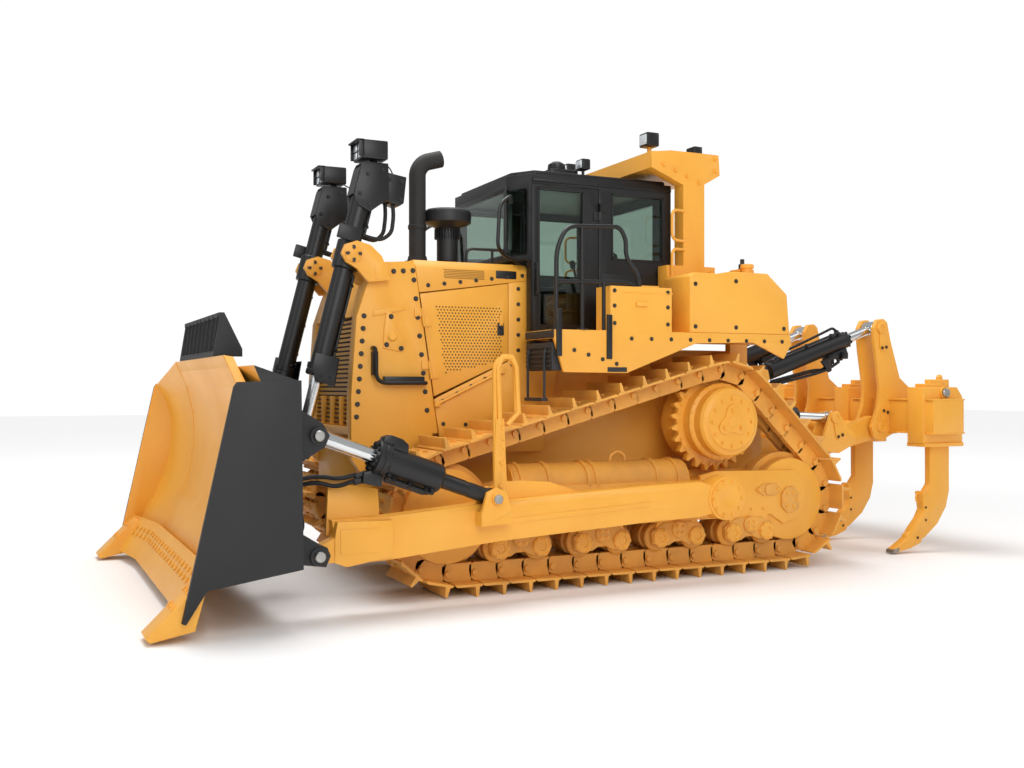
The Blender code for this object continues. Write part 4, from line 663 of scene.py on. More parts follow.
real = put(dot_tree, "GeometryNodeRealizeInstances", None, {"Geometry": placed.outputs[0]})
coated = put(dot_tree, "GeometryNodeSetMaterial", None,
             {"Geometry": real.outputs[0], "Material": given["Finish"]})
put(dot_tree, "NodeGroupOutput", None, {"Geometry": coated.outputs[0]})
# Dark brown laid as discs on punched sheet: painted shade standing in for the dark inside the holes. The
# same colour is the real colour of the ripper's keeper bolts and shank retainers.
painted_hole_shade_and_dark_steel = sprayed("painted_shade_of_holes_and_dark_bolt_steel", "5A3F18", "4C3413", 0.8)


def seam(z, base=1.95, foot=1.601, lean=0.1456):
    """The station of the slanted seam in front of the engine door at this height."""
    return base + (z - foot) * lean


for side, mark in ((1, "L"), (-1, "R")):
    softened(f"side_panel_{mark}", machine_enamel, 0.004)
    softened(f"engine_door_{mark}", machine_enamel, 0.003)
    door_body = "engine_door_left" if side > 0 else "engine_door_right"
    face = side * 0.72
    spots = []
    pitch = 0.030
    for j in range(24):
        z = 1.80 + j * pitch * 0.866
        for k in range(26):
            x = 1.31 + (k + 0.5 * (j % 2)) * pitch
            inside_door = 1.80 + (1.83 - x) * 0.0 < z < 2.46 - (x - 1.30) * 0.02 and x < seam(z) - 0.14
            if inside_door and z > 1.93 + (1.30 - x) * 0.20:
                spots.append(((x, face, z), (0, side, 0)))
    # the punched holes as dark discs on the door: painted shade of the openings
    grown(f"door_punched_holes_{mark}", spots, dot_tree, {"Hole radius": 0.0075}, painted_hole_shade_and_dark_steel, door_body)
    latch = [plate([(1.285, 2.16), (1.345, 2.16), (1.345, 2.27), (1.285, 2.27)],
                   *sorted((face, face + side * 0.012)), "Y",
                   0.003), rod((1.315, face, 2.235), (1.315, face + side * 0.03, 2.235), 0.018, 16, 0.003)]
    joined(f"door_latch_{mark}", latch, matte_black, door_body)
    edge_bolts = row((1.262, face, 2.05), (1.262, face, 2.58), 5, (0, side, 0))
    edge_bolts = row((1.14, face, 2.03), (1.14, face, 2.58), 5, (0, side, 0))
    edge_bolts += row((1.20, face, 1.90), (1.86, face, 1.58), 6, (0, side, 0))
    edge_bolts += row((1.02, face, 1.35), (1.86, face, 1.38), 5, (0, side, 0))
    edge_bolts += row((1.10, face, 2.70), (2.00, face, 2.58), 7, (0, side, 0))
    bolts(f"panel_bolts_{mark}", edge_bolts, dark_bolts, across=0.022, height=0.012)
    strut = [rod((1.92, face + side * 0.022, 1.555), (1.30, face + side * 0.022, 1.845), 0.012, 12),
             block(1.90, 1.95, *sorted((face, face + side * 0.04)), 1.53, 1.58, 0.004),
             block(1.28, 1.33, *sorted((face, face + side * 0.04)), 1.82, 1.87, 0.004)]
    joined(f"door_strut_{mark}", strut, machine_enamel, "tractor")
    # the punched slot as rows of dark discs: painted shade of its openings
    slot_spots = [((1.475 + 0.016 * (k + 0.5 * (j % 2)), face, 2.652 + 0.014 * j), (0, side, 0))
                  for j in range(6) for k in range(24)]
    grown(f"hood_slot_{mark}", slot_spots, dot_tree, {"Hole radius": 0.0055}, painted_hole_shade_and_dark_steel, "tractor")
    joined(f"hood_plate_{mark}", [block(1.16, 1.36, *sorted((face, face + side * 0.004)), 2.665, 2.735,
                                        0.001)],
           black_enamel, "tractor")
hood_rail = [tube([(1.10, 0.60, 2.79), (1.10, 0.62, 2.93), (1.60, 0.62, 2.93), (1.60, 0.60, 2.79)], 0.014),
             tube([(1.35, 0.61, 2.79), (1.35, 0.62, 2.93)], 0.012, rounds=0)]
joined("hood_rail", hood_rail, black_enamel, "tractor")

# Exhaust stack and pre-cleaner: a bent steel pipe in heat-proof matte black with a flange and a clamp, and
# a moulded bowl that spins dust out of the air, with vanes under its lid.
heat_black = sprayed("heat_proof_matte_black", "1C1B1A", "262423", 0.7, patch=0.2, peel=0.008, relief=0.2)
stack_shapes = [tube([(1.99, 0.42, 2.80), (1.99, 0.42, 3.62), (1.93, 0.42, 3.70), (1.77, 0.42, 3.745)],
                     0.075, 28)]
stack_shapes.append(turned([(0, 0), (0.115, 0), (0.115, 0.016), (0.09, 0.02), (0.082, 0.06), (0, 0.06)],
                           (1.99, 0.42, 2.8003), (0, 0, 1), 28))
stack_shapes.append(turned([(0, 0), (0.080, 0), (0.084, 0.006), (0.084, 0.034), (0.080, 0.04), (0, 0.04)],
                           (1.99, 0.42, 3.10), (0, 0, 1), 28))
stack = joined("exhaust_pipe", stack_shapes, heat_black, "tractor")
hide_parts("exhaust_stack")
moulded_black = sprayed("moulded_black_plastic", "161617", "1B1B1C", 0.5, patch=0.4, peel=0.004,
                        relief=0.15)
bowl = turned([(0, 0), (0.11, 0), (0.11, 0.02), (0.095, 0.03), (0.095, 0.30), (0.12, 0.335), (0.19, 0.36),
               (0.213, 0.375), (0.215, 0.40), (0.215, 0.455), (0.209, 0.475), (0.19, 0.49), (0.10, 0.50),
               (0, 0.50)],
              (1.70, 0.41, 2.8003), (0, 0, 1), 48)
bowl_piece = joined("precleaner_bowl", [bowl], moulded_black, "tractor")
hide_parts("air_precleaner")
vane = bpy.data.objects.new("precleaner_vane", bpy.data.meshes.new("precleaner_vane"))
vane_shape = plate([(-0.004, 0.0), (0.004, 0.0), (0.004, 0.09), (-0.004, 0.09)], -0.012, 0.012, "Y", 0.0)
vane_shape.to_mesh(vane.data)
vane_spots, vane_along = [], []
for k in range(28):
    angle = 2 * math.pi * k / 28
    vane_spots.append(((1.70 + 0.105 * math.cos(angle), 0.41 + 0.105 * math.sin(angle), 3.03), (0, 0, 1)))
    vane_along.append((-math.sin(angle), math.cos(angle), 0))
grown("precleaner_vanes", vane_spots, pattern_tree, {"Pattern": vane}, moulded_black, "tractor",
      vane_along)
bpy.data.objects.remove(vane, do_unlink=True)

# Cab: a welded frame in black enamel on rubber mounts, with tinted safety glass set in rubber. The doors
# have frames of their own, a pull and a latch; a receiver and lamps stand on the roof, and a grab loop
# hangs at each front corner.
cab_glass = bpy.data.materials.new("tinted_safety_glass")
cab_glass.use_nodes = True
pane = cab_glass.node_tree.nodes["Principled BSDF"]
pane.inputs["Base Color"].default_value = linear("CFE3D8")
pane.inputs["Roughness"].default_value = 0.02
pane.inputs["Transmission Weight"].default_value = 1.0
pane.inputs["IOR"].default_value = 1.45
rubber = sprayed("black_rubber", "121212", "1A1A1A", 0.65, patch=0.3, peel=0.004, relief=0.2)
SEAL_WIDTH = 0.016
for node in ("windscreen", "rear_window", "side_window_L", "side_window_R", "door_glass_L", "door_glass_R"):
    painted(node, cab_glass)
softened("cab_shell", black_enamel, 0.005)
for side, mark in ((1, "L"), (-1, "R")):
    door_body = "cab_door_left" if side > 0 else "cab_door_right"
    softened(f"cab_door_{mark}", black_enamel, 0.003)
    face = side * 0.85
    # rubber seals round the panes
    for x0, x1, z0, z1, body in ((0.539, 1.005, 2.189, 3.479, door_body),
                                 (-0.313, 0.251, 2.87, 3.48, "tractor")):
        ring_shape = [plate([(a, c), (b, c), (b, d), (a, d)],
                            *sorted((face - side * 0.03, face + side * 0.004)), "Y", 0.002)
                      for a, b, c, d in ((x0, x1, z0, z0 + SEAL_WIDTH), (x0, x1, z1 - SEAL_WIDTH, z1),
                                         (x0, x0 + SEAL_WIDTH, z0, z1), (x1 - SEAL_WIDTH, x1, z0, z1))]
        joined(f"seal_{'door' if body == door_body else 'side'}_{mark}", ring_shape, rubber, body)
    pull = [tube([(1.035, face, 2.52), (1.035, face + side * 0.05, 2.52), (1.035, face + side * 0.05, 2.80),
                  (1.035, face, 2.80)], 0.010, 8)]
    joined(f"cab_door_pull_{mark}", pull, rubber, door_body)
    loop_rail = [tube([(1.20, side * 0.70, 3.36), (1.34, side * 0.98, 3.36), (1.44, side * 0.98, 3.28),
                       (1.46, side * 0.98, 2.92), (1.38, side * 0.90, 2.86), (1.12, side * 0.76, 2.80)],
                       0.016)]
    joined(f"cab_grab_loop_{mark}", loop_rail, black_enamel, "tractor")
    edges = [block(-0.39, 1.06, *sorted((side * 0.846, side * 0.862)), 3.535, 3.56, 0.003),
             block(-0.38, 0.36, *sorted((side * 0.848, side * 0.856)), 2.20, 2.74, 0.003)]
    joined(f"cab_side_trim_{mark}", edges, black_enamel, "tractor")
roof = [plate([(-0.36, -0.80), (1.02, -0.80), (1.16, -0.58), (1.16, 0.58), (1.02, 0.80), (-0.36, 0.80)],
              3.60, 3.645, "Z",
              0.015), block(0.48, 0.76, 0.30, 0.62, 3.64, 3.72, 0.02), block(-0.20, 0.35, -0.45, 0.25, 3.64,
                                                                             3.70, 0.03),
        turned([(0, 0), (0.07, 0), (0.085, 0.03), (0.08, 0.07), (0.04, 0.095), (0, 0.10)],
               (0.62, 0.46, 3.715), (0, 0, 1), 28)]
joined("cab_roof", roof, black_enamel, "tractor")
joined("windscreen_frame",
       [block(1.19, 1.225, -0.63, 0.63, 3.46, 3.50, 0.004),
        block(1.19, 1.225, -0.63, 0.63, 2.84, 2.89, 0.004),
        block(1.20, 1.232, -0.635, -0.605, 2.86, 3.48, 0.004),
        block(1.20, 1.232, 0.605, 0.635, 2.86, 3.48, 0.004)],
       black_enamel, "tractor")

# Lamps: die-cast black housings with a clear lens over a bright reflector, on the cab roof and the roll-
# over bar.
lens_glass = bpy.data.materials.new("clear_lamp_lens")
lens_glass.use_nodes = True
lens = lens_glass.node_tree.nodes["Principled BSDF"]
lens.inputs["Base Color"].default_value = linear("E8EEF2")
lens.inputs["Roughness"].default_value = 0.08
lens.inputs["Metallic"].default_value = 0.6
lens.inputs["Coat Weight"].default_value = 1.0


def lamp_head(name, centre, size, aim, body, foot):
    """A housing with a lens on its front, on a stalk down to foot; aim is +1 ahead, -1 astern."""
    x, y, z = centre
    depth, width, height = size
    housing = [block(x - depth / 2, x + depth / 2, y - width / 2, y + width / 2, z - height / 2,
                     z + height / 2, 0.012),
               rod((x, y, foot), (x, y, z - height / 2 + 0.01), 0.014, 12)]
    for k in range(5):
        fin = x - aim * (depth / 2 + 0.004 + 0.0), z - height * 0.35 + k * height * 0.175
        housing.append(block(*sorted((fin[0], fin[0] + aim * 0.02)), y - width * 0.42, y + width * 0.42,
                             fin[1] - 0.003,
                             fin[1] + 0.003, 0.0))
    joined(name, housing, black_enamel, body)
    front = x + aim * depth / 2
    joined(name + "_lens", [block(*sorted((front - aim * 0.004, front + aim * 0.006)), y - width * 0.42,
                                  y + width * 0.42,
                                  z - height * 0.36, z + height * 0.36, 0.003)], lens_glass, body)


for side, mark in ((1, "L"), (-1, "R")):
    lamp_head(f"roof_lamp_{mark}", (0.425, side * 0.62, 3.77), (0.09, 0.13, 0.10), 1, "tractor", 3.60)
    lamp_head(f"rops_lamp_{mark}", (-0.185, side * 0.80, 4.02), (0.135, 0.145, 0.13), 1, "tractor", 3.88)
    lamp_head(f"rear_lamp_{mark}", (-0.76, side * 0.70, 3.97), (0.10, 0.14, 0.11), -1, "tractor", 3.88)

# Operator's seat: upholstered foam pads in a woven cover on a black suspension base, with moulded side
# boxes, two levers and a steering handle. The pads are crowned, and drawn in along their welted edges.
woven = bpy.data.materials.new("woven_seat_cover")
woven.use_nodes = True
weave_tree = woven.node_tree
weave_skin = weave_tree.nodes["Principled BSDF"]
weave_place = put(weave_tree, "ShaderNodeTexCoord").outputs["Object"]
# threads 3 mm apart, drawn twice as coarse as real ones so that they show
warp = put(weave_tree, "ShaderNodeTexWave", {"bands_direction": "X"},
           {"Vector": weave_place, "Scale": 52.0})
weft = put(weave_tree, "ShaderNodeTexWave", {"bands_direction": "Z"},
           {"Vector": weave_place, "Scale": 52.0})
cross = put(weave_tree, "ShaderNodeMath", {"operation": "MAXIMUM"},
            {0: warp.outputs["Fac"], 1: weft.outputs["Fac"]})
thread = put(weave_tree, "ShaderNodeMix", {"data_type": "RGBA"},
             {0: cross.outputs[0], 6: linear("141517"), 7: linear("2A2C2F")})
raised_thread = put(weave_tree, "ShaderNodeBump", None,
                    {"Strength": 0.4, "Distance": 0.001, "Height": cross.outputs[0]})
weave_tree.links.new(thread.outputs[2], weave_skin.inputs["Base Color"])
weave_tree.links.new(raised_thread.outputs[0], weave_skin.inputs["Normal"])
weave_skin.inputs["Roughness"].default_value = 0.9
weave_skin.inputs["Sheen Weight"].default_value = 0.3


def pad(name, centre, size, lean, crown):
    """A foam pad: a soft box, fullest in the middle, leaned back by an angle."""
    shape = bmesh.new()
    bmesh.ops.create_cube(shape, size=1.0)
    bmesh.ops.subdivide_edges(shape, edges=shape.edges, cuts=7, use_grid_fill=True)
    turn = Matrix.Rotation(lean, 3, "Y")
    for vert in shape.verts:
        x, y, z = (c * 2 for c in vert.co)
        pull = 1 - 0.10 * (abs(x) ** 6 + abs(y) ** 6) * abs(z)
        swell = 1 + crown * (1 - x * x) * (1 - y * y)
        local = Vector((x * pull * size[0] / 2, y * pull * size[1] / 2,
                        z * size[2] / 2 * swell / (1 + crown)))
        vert.co = turn @ local + Vector(centre)
    bmesh.ops.recalc_face_normals(shape, faces=shape.faces)
    made = joined(name, [shape], woven, "tractor", 180)
    rounder = made.modifiers.new("rounding", "SUBSURF")
    rounder.levels = rounder.render_levels = 1
    return made


base_shapes = [block(-0.08, 0.33, -0.20, 0.20, 2.115, 2.20, 0.01),
               block(-0.05, 0.30, -0.17, 0.17, 2.20, 2.43, 0.03)]
for side in (1, -1):
    base_shapes.append(block(-0.09, 0.44, *sorted((side * 0.285, side * 0.475)), 2.41, 2.71, 0.03))
    base_shapes.append(rod((0.36, side * 0.38, 2.70), (0.40, side * 0.38, 2.84), 0.012, 12))
    base_shapes.append(turned([(0, 0), (0.022, 0.01), (0.028, 0.04), (0.024, 0.08), (0, 0.09)],
                              (0.40, side * 0.38, 2.82), (0.2, 0, 1), 16))
seat_base = joined("seat_base", base_shapes, moulded_black, "tractor")
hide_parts("operator_station")
pad("seat_cushion", (0.14, 0, 2.515), (0.50, 0.52, 0.14), 0.0, 0.35)
pad("seat_back", (-0.115, 0, 2.80), (0.12, 0.48, 0.54), -0.16, 0.25)

# Roll-over bar: a box beam on two posts bolted to the platforms, with yellow grab bars up the posts.
softened("rops", machine_enamel, 0.008)
for side, mark in ((1, "L"), (-1, "R")):
    grabs = [tube([(-0.45, side * 1.01, 3.34), (-0.27, side * 1.06, 3.34), (-0.27, side * 1.06, 3.06),
                   (-0.45, side * 1.01, 3.06)], 0.014),
             tube([(-0.45, side * 1.01, 2.98), (-0.27, side * 1.06, 2.98), (-0.27, side * 1.06, 2.62),
                   (-0.45, side * 1.01, 2.62)], 0.014)]
    joined(f"rops_grab_bars_{mark}", grabs, machine_enamel, "tractor")
    face = side * 1.02
    rops_bolts = [((x, face, z), (0, side, 0)) for x in (-0.72, -0.30) for z in (2.24, 2.42, 2.60, 2.78)]
    rops_bolts += row((-0.60, face, 3.62), (-0.20, face, 3.76), 4, (0, side, 0))
    rops_bolts += row((-0.78, face, 3.74), (-0.78, face, 3.86), 2, (0, side, 0))
    bolts(f"rops_bolts_{mark}", rops_bolts)

# Platforms: folded deck plate with a skirt, non-slip studs, a battery box with a seamed lid, and black kick
# plates, a cooling louvre under the front edge, and tubular black rails.
for side, mark in ((1, "L"), (-1, "R")):
    softened(f"fender_{mark}", machine_enamel, 0.006)
    face = side * 1.45
    skirt_bolts = row((1.10, face, 2.05), (0.55, face, 1.90), 5, (0, side, 0))
    skirt_bolts += row((0.40, face, 2.12), (-1.22, face, 2.12), 9, (0, side, 0))
    skirt_bolts += [((x, face, z), (0, side, 0)) for x in (0.03, 0.57) for z in (2.25, 2.40, 2.53)]
    bolts(f"platform_bolts_{mark}", skirt_bolts, dark_bolts, across=0.022, height=0.012)
    trims = [block(-0.02, 0.49, *sorted((face - side * 0.42, face + side * 0.005)), 2.515, 2.525, 0.002),
             block(0.24, 0.36, *sorted((face, face + side * 0.02)), 2.40, 2.44, 0.006),
             block(0.02, 0.20, *sorted((side * 1.10, side * 1.30)), 2.57, 2.60, 0.01)]
    joined(f"battery_box_trim_{mark}", trims, machine_enamel, "tractor")
    kicks = [block(1.149, 1.158, *sorted((side * 0.90, side * 1.44)), 2.115, 2.18, 0.002),
             block(1.04, 1.15, *sorted((side * 0.90, side * 1.40)), 1.84, 2.08, 0.01),
             block(0.45, 0.64, *sorted((face - side * 0.012, face + side * 0.006)), 1.83, 1.87, 0.002)]
    kicks += [block(1.15, 1.162, *sorted((side * 0.92, side * 1.38)), 1.87 + 0.04 * k, 1.885 + 0.04 * k,
                    0.002)
              for k in range(5)]
    # rubber-edged steps down the front of the platform
    kicks += [tube([(1.10, side * 1.30, 2.12), (1.17, side * 1.30, 2.00), (1.17, side * 1.30, 1.60)], 0.012,
                   8),
              tube([(1.10, side * 0.98, 2.12), (1.17, side * 0.98, 2.00), (1.17, side * 0.98, 1.60)], 0.012,
                   8),
              block(1.14, 1.20, *sorted((side * 0.97, side * 1.31)), 1.58, 1.61, 0.004)]
    joined(f"platform_kick_plates_{mark}", kicks, matte_black, "tractor")
    studs = [((x, side * y, 2.1855), (0, 0, 1)) for x in (0.66 + 0.045 * k for k in range(11))
             for y in (0.92 + 0.045 * j for j in range(11))]
    grown(f"non_slip_studs_{mark}", studs, dot_tree, {"Hole radius": 0.012}, machine_enamel, "tractor")
    y = side * 1.42
    rail = [tube([(x, y, z) for x, z in ((1.12, 2.19), (1.115, 2.86), (1.02, 3.06), (0.50, 3.083),
                                         (0.44, 2.98), (0.44, 2.82),
                                         (0.32, 2.68), (0.305, 2.575))], 0.0195, 14),
            tube([(1.12, y, 2.59), (0.44, y, 2.61), (0.36, y, 2.58)], 0.0175, 12),
            tube([(0.871, y, 2.19), (0.871, y, 3.065)], 0.0175, 12),
            tube([(0.66, y, 2.19), (0.66, y, 2.60)], 0.0175, 12),
            rod((1.12, y, 2.186), (1.12, y, 2.20), 0.045, 20), rod((0.871, y, 2.186), (0.871, y, 2.20),
                                                                   0.045, 20)]
    rail_piece = joined(f"platform_rail_tubes_{mark}", rail, black_enamel, "tractor")
    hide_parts(f"platform_rail_{mark}")
    posts = [block(1.085, 1.135, *sorted((face - side * 0.004, face + side * 0.018)), 1.96, 2.36, 0.004),
             block(0.60, 0.65, *sorted((face - side * 0.004, face + side * 0.018)), 1.94, 2.32, 0.004)]
    joined(f"rail_sockets_{mark}", posts, black_enamel, "tractor")

# Fuel tank: a welded tank across the back of the platforms, its side boxes running forward, with a filler,
# a valve box and lids on top.
softened("fuel_tank", machine_enamel, 0.012)
tank_bits = [block(-1.05, -0.88, 1.10, 1.26, 2.742, 2.80, 0.01),
             block(-0.55, -0.30, 1.08, 1.34, 2.715, 2.735, 0.006),
             turned([(0, 0), (0.05, 0), (0.05, 0.05), (0.062, 0.055), (0.062, 0.085), (0.05, 0.092),
                     (0, 0.092)],
                    (-0.92, 1.32, 2.744), (0, 0, 1), 24),
             block(-0.55, -0.30, -1.34, -1.08, 2.715, 2.735, 0.006)]
joined("tank_fittings", tank_bits, machine_enamel, "tractor")
joined("tank_valve", [turned([(0, 0), (0.035, 0), (0.035, 0.05), (0.02, 0.06), (0.02, 0.10), (0, 0.10)],
                             (-0.97, 1.18, 2.80),
                             (0, 0, 1), 20)], matte_black, "tractor")
tank_bolts = [((x, 1.45, z), (0, 1, 0)) for x, z in ((-0.26, 2.24), (-0.26, 2.62), (-0.70, 2.24),
                                                     (-0.70, 2.66), (-1.24, 2.24))]
tank_bolts += [((x, -y, z), (0, -1, 0)) for (x, y, z), _ in tank_bolts]
tank_bolts += [((-0.79 - 0.0, y, 2.40), (1, 0, 0)) for y in (-0.80, -0.40, 0, 0.40, 0.80)]
bolts("tank_bolts", tank_bolts, dark_bolts, across=0.024, height=0.012)
bolts("tank_rear_bolts", [((-1.292, y, 2.40), (-0.995, 0, 0.08)) for y in (-1.2, -0.6, 0, 0.6, 1.2)],
      dark_bolts,
      across=0.024, height=0.012)

# Blade: rolled moldboard plate in the machine's enamel, worn satin across its face. Its side plates and its
# back are finished in matte dark grey. The cutting edge and end bits are bolted on with plough bolts.
blade_grey = sprayed("matte_dark_grey_enamel", "222223", "1E1E1F", 0.62, patch=0.8, peel=0.012, relief=0.08)
blade_body = softened("blade", machine_enamel, 0.006)
blade_body.data.materials.append(blade_grey)
face_line = [(0.36, 3.945), (0.62, 3.80), (0.90, 3.70), (1.18, 3.66), (1.45, 3.666), (1.72, 3.73),
             (1.94, 3.83)]
for polygon in blade_body.data.polygons:
    centre = polygon.center - AHEAD
    stretch = min(max(centre.z, 0.36), 1.939)
    low = max(point for point in face_line if point[0] <= stretch)
    high = min(point for point in face_line if point[0] > stretch)
    front = low[1] + (high[1] - low[1]) * (stretch - low[0]) / (high[0] - low[0])
    on_side = abs(centre.y) > 2.13
    behind = centre.x < front - 0.02 or polygon.normal.x < -0.15
    polygon.material_index = 1 if on_side or behind else 0
softened("cutting_edge", machine_enamel, 0.004)
edge_normal = Vector((0.832, 0, 0.555))
edge_spots = []
for k in range(17):
    y = -1.20 + 0.15 * k
    for t in (0.28, 0.45):
        edge_spots.append(((3.994 + t * 0.207 + 0.004, y, 0.41 - t * 0.323 + 0.002), tuple(edge_normal)))
for side in (1, -1):
    for k in range(5):
        for t in (0.28, 0.45):
            y = 1.36 + 0.13 * k
            x = 3.994 + 0.122 * (y - 1.25) / 0.86
            edge_spots.append(((x + t * 0.207 + 0.004, side * y, 0.41 - t * 0.323), tuple(edge_normal)))
bolts("edge_bolts", edge_spots, body="blade_group", across=0.030, height=0.008)
bit_normal = Vector((0.705, 0, 0.709))
bit_spots = [((4.20 + 0.10 * a, side * (1.86 + 0.09 * b), 0.325 - 0.099 * a), tuple(bit_normal))
             for side in (1, -1) for a in range(2) for b in range(3)]
bolts("end_bit_bolts", bit_spots, body="blade_group", across=0.034, height=0.010)
# seams of the welded-on wings
welds = []
for side in (1, -1):
    welds.append(tube([(x + 0.001, side * 1.25, z) for z, x in face_line], 0.007, 8))
joined("moldboard_welds", welds, machine_enamel, "blade_group")
lugs = []
for side in (1, -1):
    for x, z, y0, y1, radius in ((3.25, 0.60, 0.50, 0.74, 0.045), (3.269, 0.483, 1.655, 1.905, 0.05),
                                 (3.276, 1.35, 1.655, 1.905, 0.045)):
        lugs.append(turned([(0, 0), (radius, 0), (radius + 0.018, 0.004), (radius + 0.018, 0.014),
                            (0, 0.014)],
                           (x, side * (y1 - 0.012), z), (0, side, 0), 24))
        lugs.append(turned([(0, 0), (radius, 0), (radius + 0.018, 0.004), (radius + 0.018, 0.014),
                            (0, 0.014)],
                           (x, side * (y0 + 0.012), z), (0, -side, 0), 24))
joined("blade_pin_caps", lugs, blade_grey, "blade_group")
hoses = []
for side in (1, -1):
    hoses.append(tube([(3.44, side * 1.62, 0.70), (3.36, side * 1.60, 0.58), (3.30, side * 1.55, 0.66),
                       (3.34, side * 1.45, 0.95), (3.44, side * 1.40, 1.15)], 0.016, 10))
    hoses.append(tube([(3.44, side * 1.30, 1.20), (3.40, side * 1.10, 1.28), (3.42, side * 0.95, 1.20),
                       (3.45, side * 0.80, 1.16)], 0.016, 10))
joined("blade_hoses", hoses, rubber, "blade_group")

# Trash rack: round-edged bars between a top bar and a foot, closed by dark side plates.
softened("trash_rack", blade_grey, 0.003)
bar_shape = plate([(0.0, 0.0), (0.024, 0.0), (-0.013, 0.315), (-0.030, 0.315)], -0.005, 0.005, "Y", 0.0)
bar = bpy.data.objects.new("rack_bar", bpy.data.meshes.new("rack_bar"))
bar_shape.to_mesh(bar.data)
bar_spots = [((3.805, -0.85 + 1.70 * k / 34, 1.955), (0, 0, 1)) for k in range(35)]
grown("rack_bars", bar_spots, pattern_tree, {"Pattern": bar}, blade_grey, "blade_group",
      [(1, 0, 0)] * 35)
bpy.data.objects.remove(bar, do_unlink=True)

# Push arms: box girders from the trunnions to the blade, with bolted trunnion caps, a stiffened nose, a
# saddle under the tilt cylinder and a stepping rail.
for side, mark in ((1, "L"), (-1, "R")):
    softened(f"push_arm_{mark}", machine_enamel, 0.008)
    face = side * 1.76
    cap_face = side * 1.77
    arm_shapes = [turned([(0, 0), (0.165, 0), (0.165, 0.012), (0.12, 0.022), (0.075, 0.022), (0.06, 0.012),
                          (0, 0.012)],
                         (-0.369, cap_face, 0.735), (0, side, 0), 40),
                  plate([(0.40, 0.70), (1.80, 0.62), (1.80, 0.66), (0.40, 0.74)],
                        *sorted((face, face + side * 0.006)), "Y",
                        0.002),
                  rod((1.87, side * 1.65, 0.836), (1.87, side * 1.91, 0.836), 0.045, 24, 0.006),
                  block(2.80, 3.10, *sorted((side * 1.84, side * 1.846)), 0.48, 0.66, 0.002)]
    arm_shapes.append(tube([(1.79, side * 1.68, 0.80), (1.80, side * 1.68, 1.88), (1.70, side * 1.68, 1.96),
                            (1.62, side * 1.68, 1.88), (1.61, side * 1.68, 1.48)], 0.021, 12))
    joined(f"push_arm_fittings_{mark}", arm_shapes, machine_enamel, "push_arms")
    arm_bolts = ring((-0.369, cap_face + side * 0.012, 0.735), 0.143, 10, side)
    arm_bolts += [((x, side * 1.71, z), (0, side, 0)) for x,
                  z in ((1.75, 1.38), (1.75, 1.10), (1.76, 0.92))]
    bolts(f"push_arm_bolts_{mark}", arm_bolts, body="push_arms", across=0.028, height=0.016)
    # holes in the stepping plate as dark discs: painted shade of the openings
    dots = [((1.75, side * 1.7105, 1.00 + 0.07 * k), (0, side, 0)) for k in range(5)]
    grown(f"step_plate_holes_{mark}", dots, dot_tree, {"Hole radius": 0.012}, painted_hole_shade_and_dark_steel, "push_arms")

# Hydraulic cylinders: honed steel barrels in semi-gloss black enamel with bolted glands and bent steel
# lines, and hard-chromed rods with forged eyes. A yoke of the radiator guard holds each blade lift barrel
# by a trunnion collar.
hard_chrome = sprayed("hard_chrome_on_cylinder_rods", "E4E5E5", "D2D4D6", 0.16, patch=0.9, peel=0.004,
                      relief=0.02,
                      metallic=1.0)
pin_steel = sprayed("turned_steel_pins", "BDBCB8", "9C9A96", 0.32, patch=0.1, peel=0.003, relief=0.08,
                    metallic=1.0)


def keeper(pin, end, face, side, radius=0.060):
    """A pin's cap and the flat keeper that stops it turning, with the spots of the keeper's two bolts."""
    pin, end = Vector((pin[0], 0, pin[1])), Vector((end[0], 0, end[1]))
    along = (end - pin).normalized()
    across = Vector((-along.z, 0, along.x))
    corners = [pin + across * 0.035, end + across * 0.055, end + across * 0.045 + along * 0.035,
               end - across * 0.045 + along * 0.035, end - across * 0.055, pin - across * 0.035]
    shapes = [turned([(0, 0), (radius, 0), (radius, 0.018), (radius - 0.008, 0.025), (radius * 0.5, 0.025),
                      (radius * 0.45, 0.018), (0, 0.018)], (pin.x, face, pin.z), (0, side, 0), 32),
              plate([(c.x, c.z) for c in corners], *sorted((face, face + side * 0.012)), "Y", 0.002)]
    spots = [((c.x, face + side * 0.012, c.z), (0, side, 0)) for c in (end + across * 0.028,
                                                                       end - across * 0.028)]
    return shapes, spots


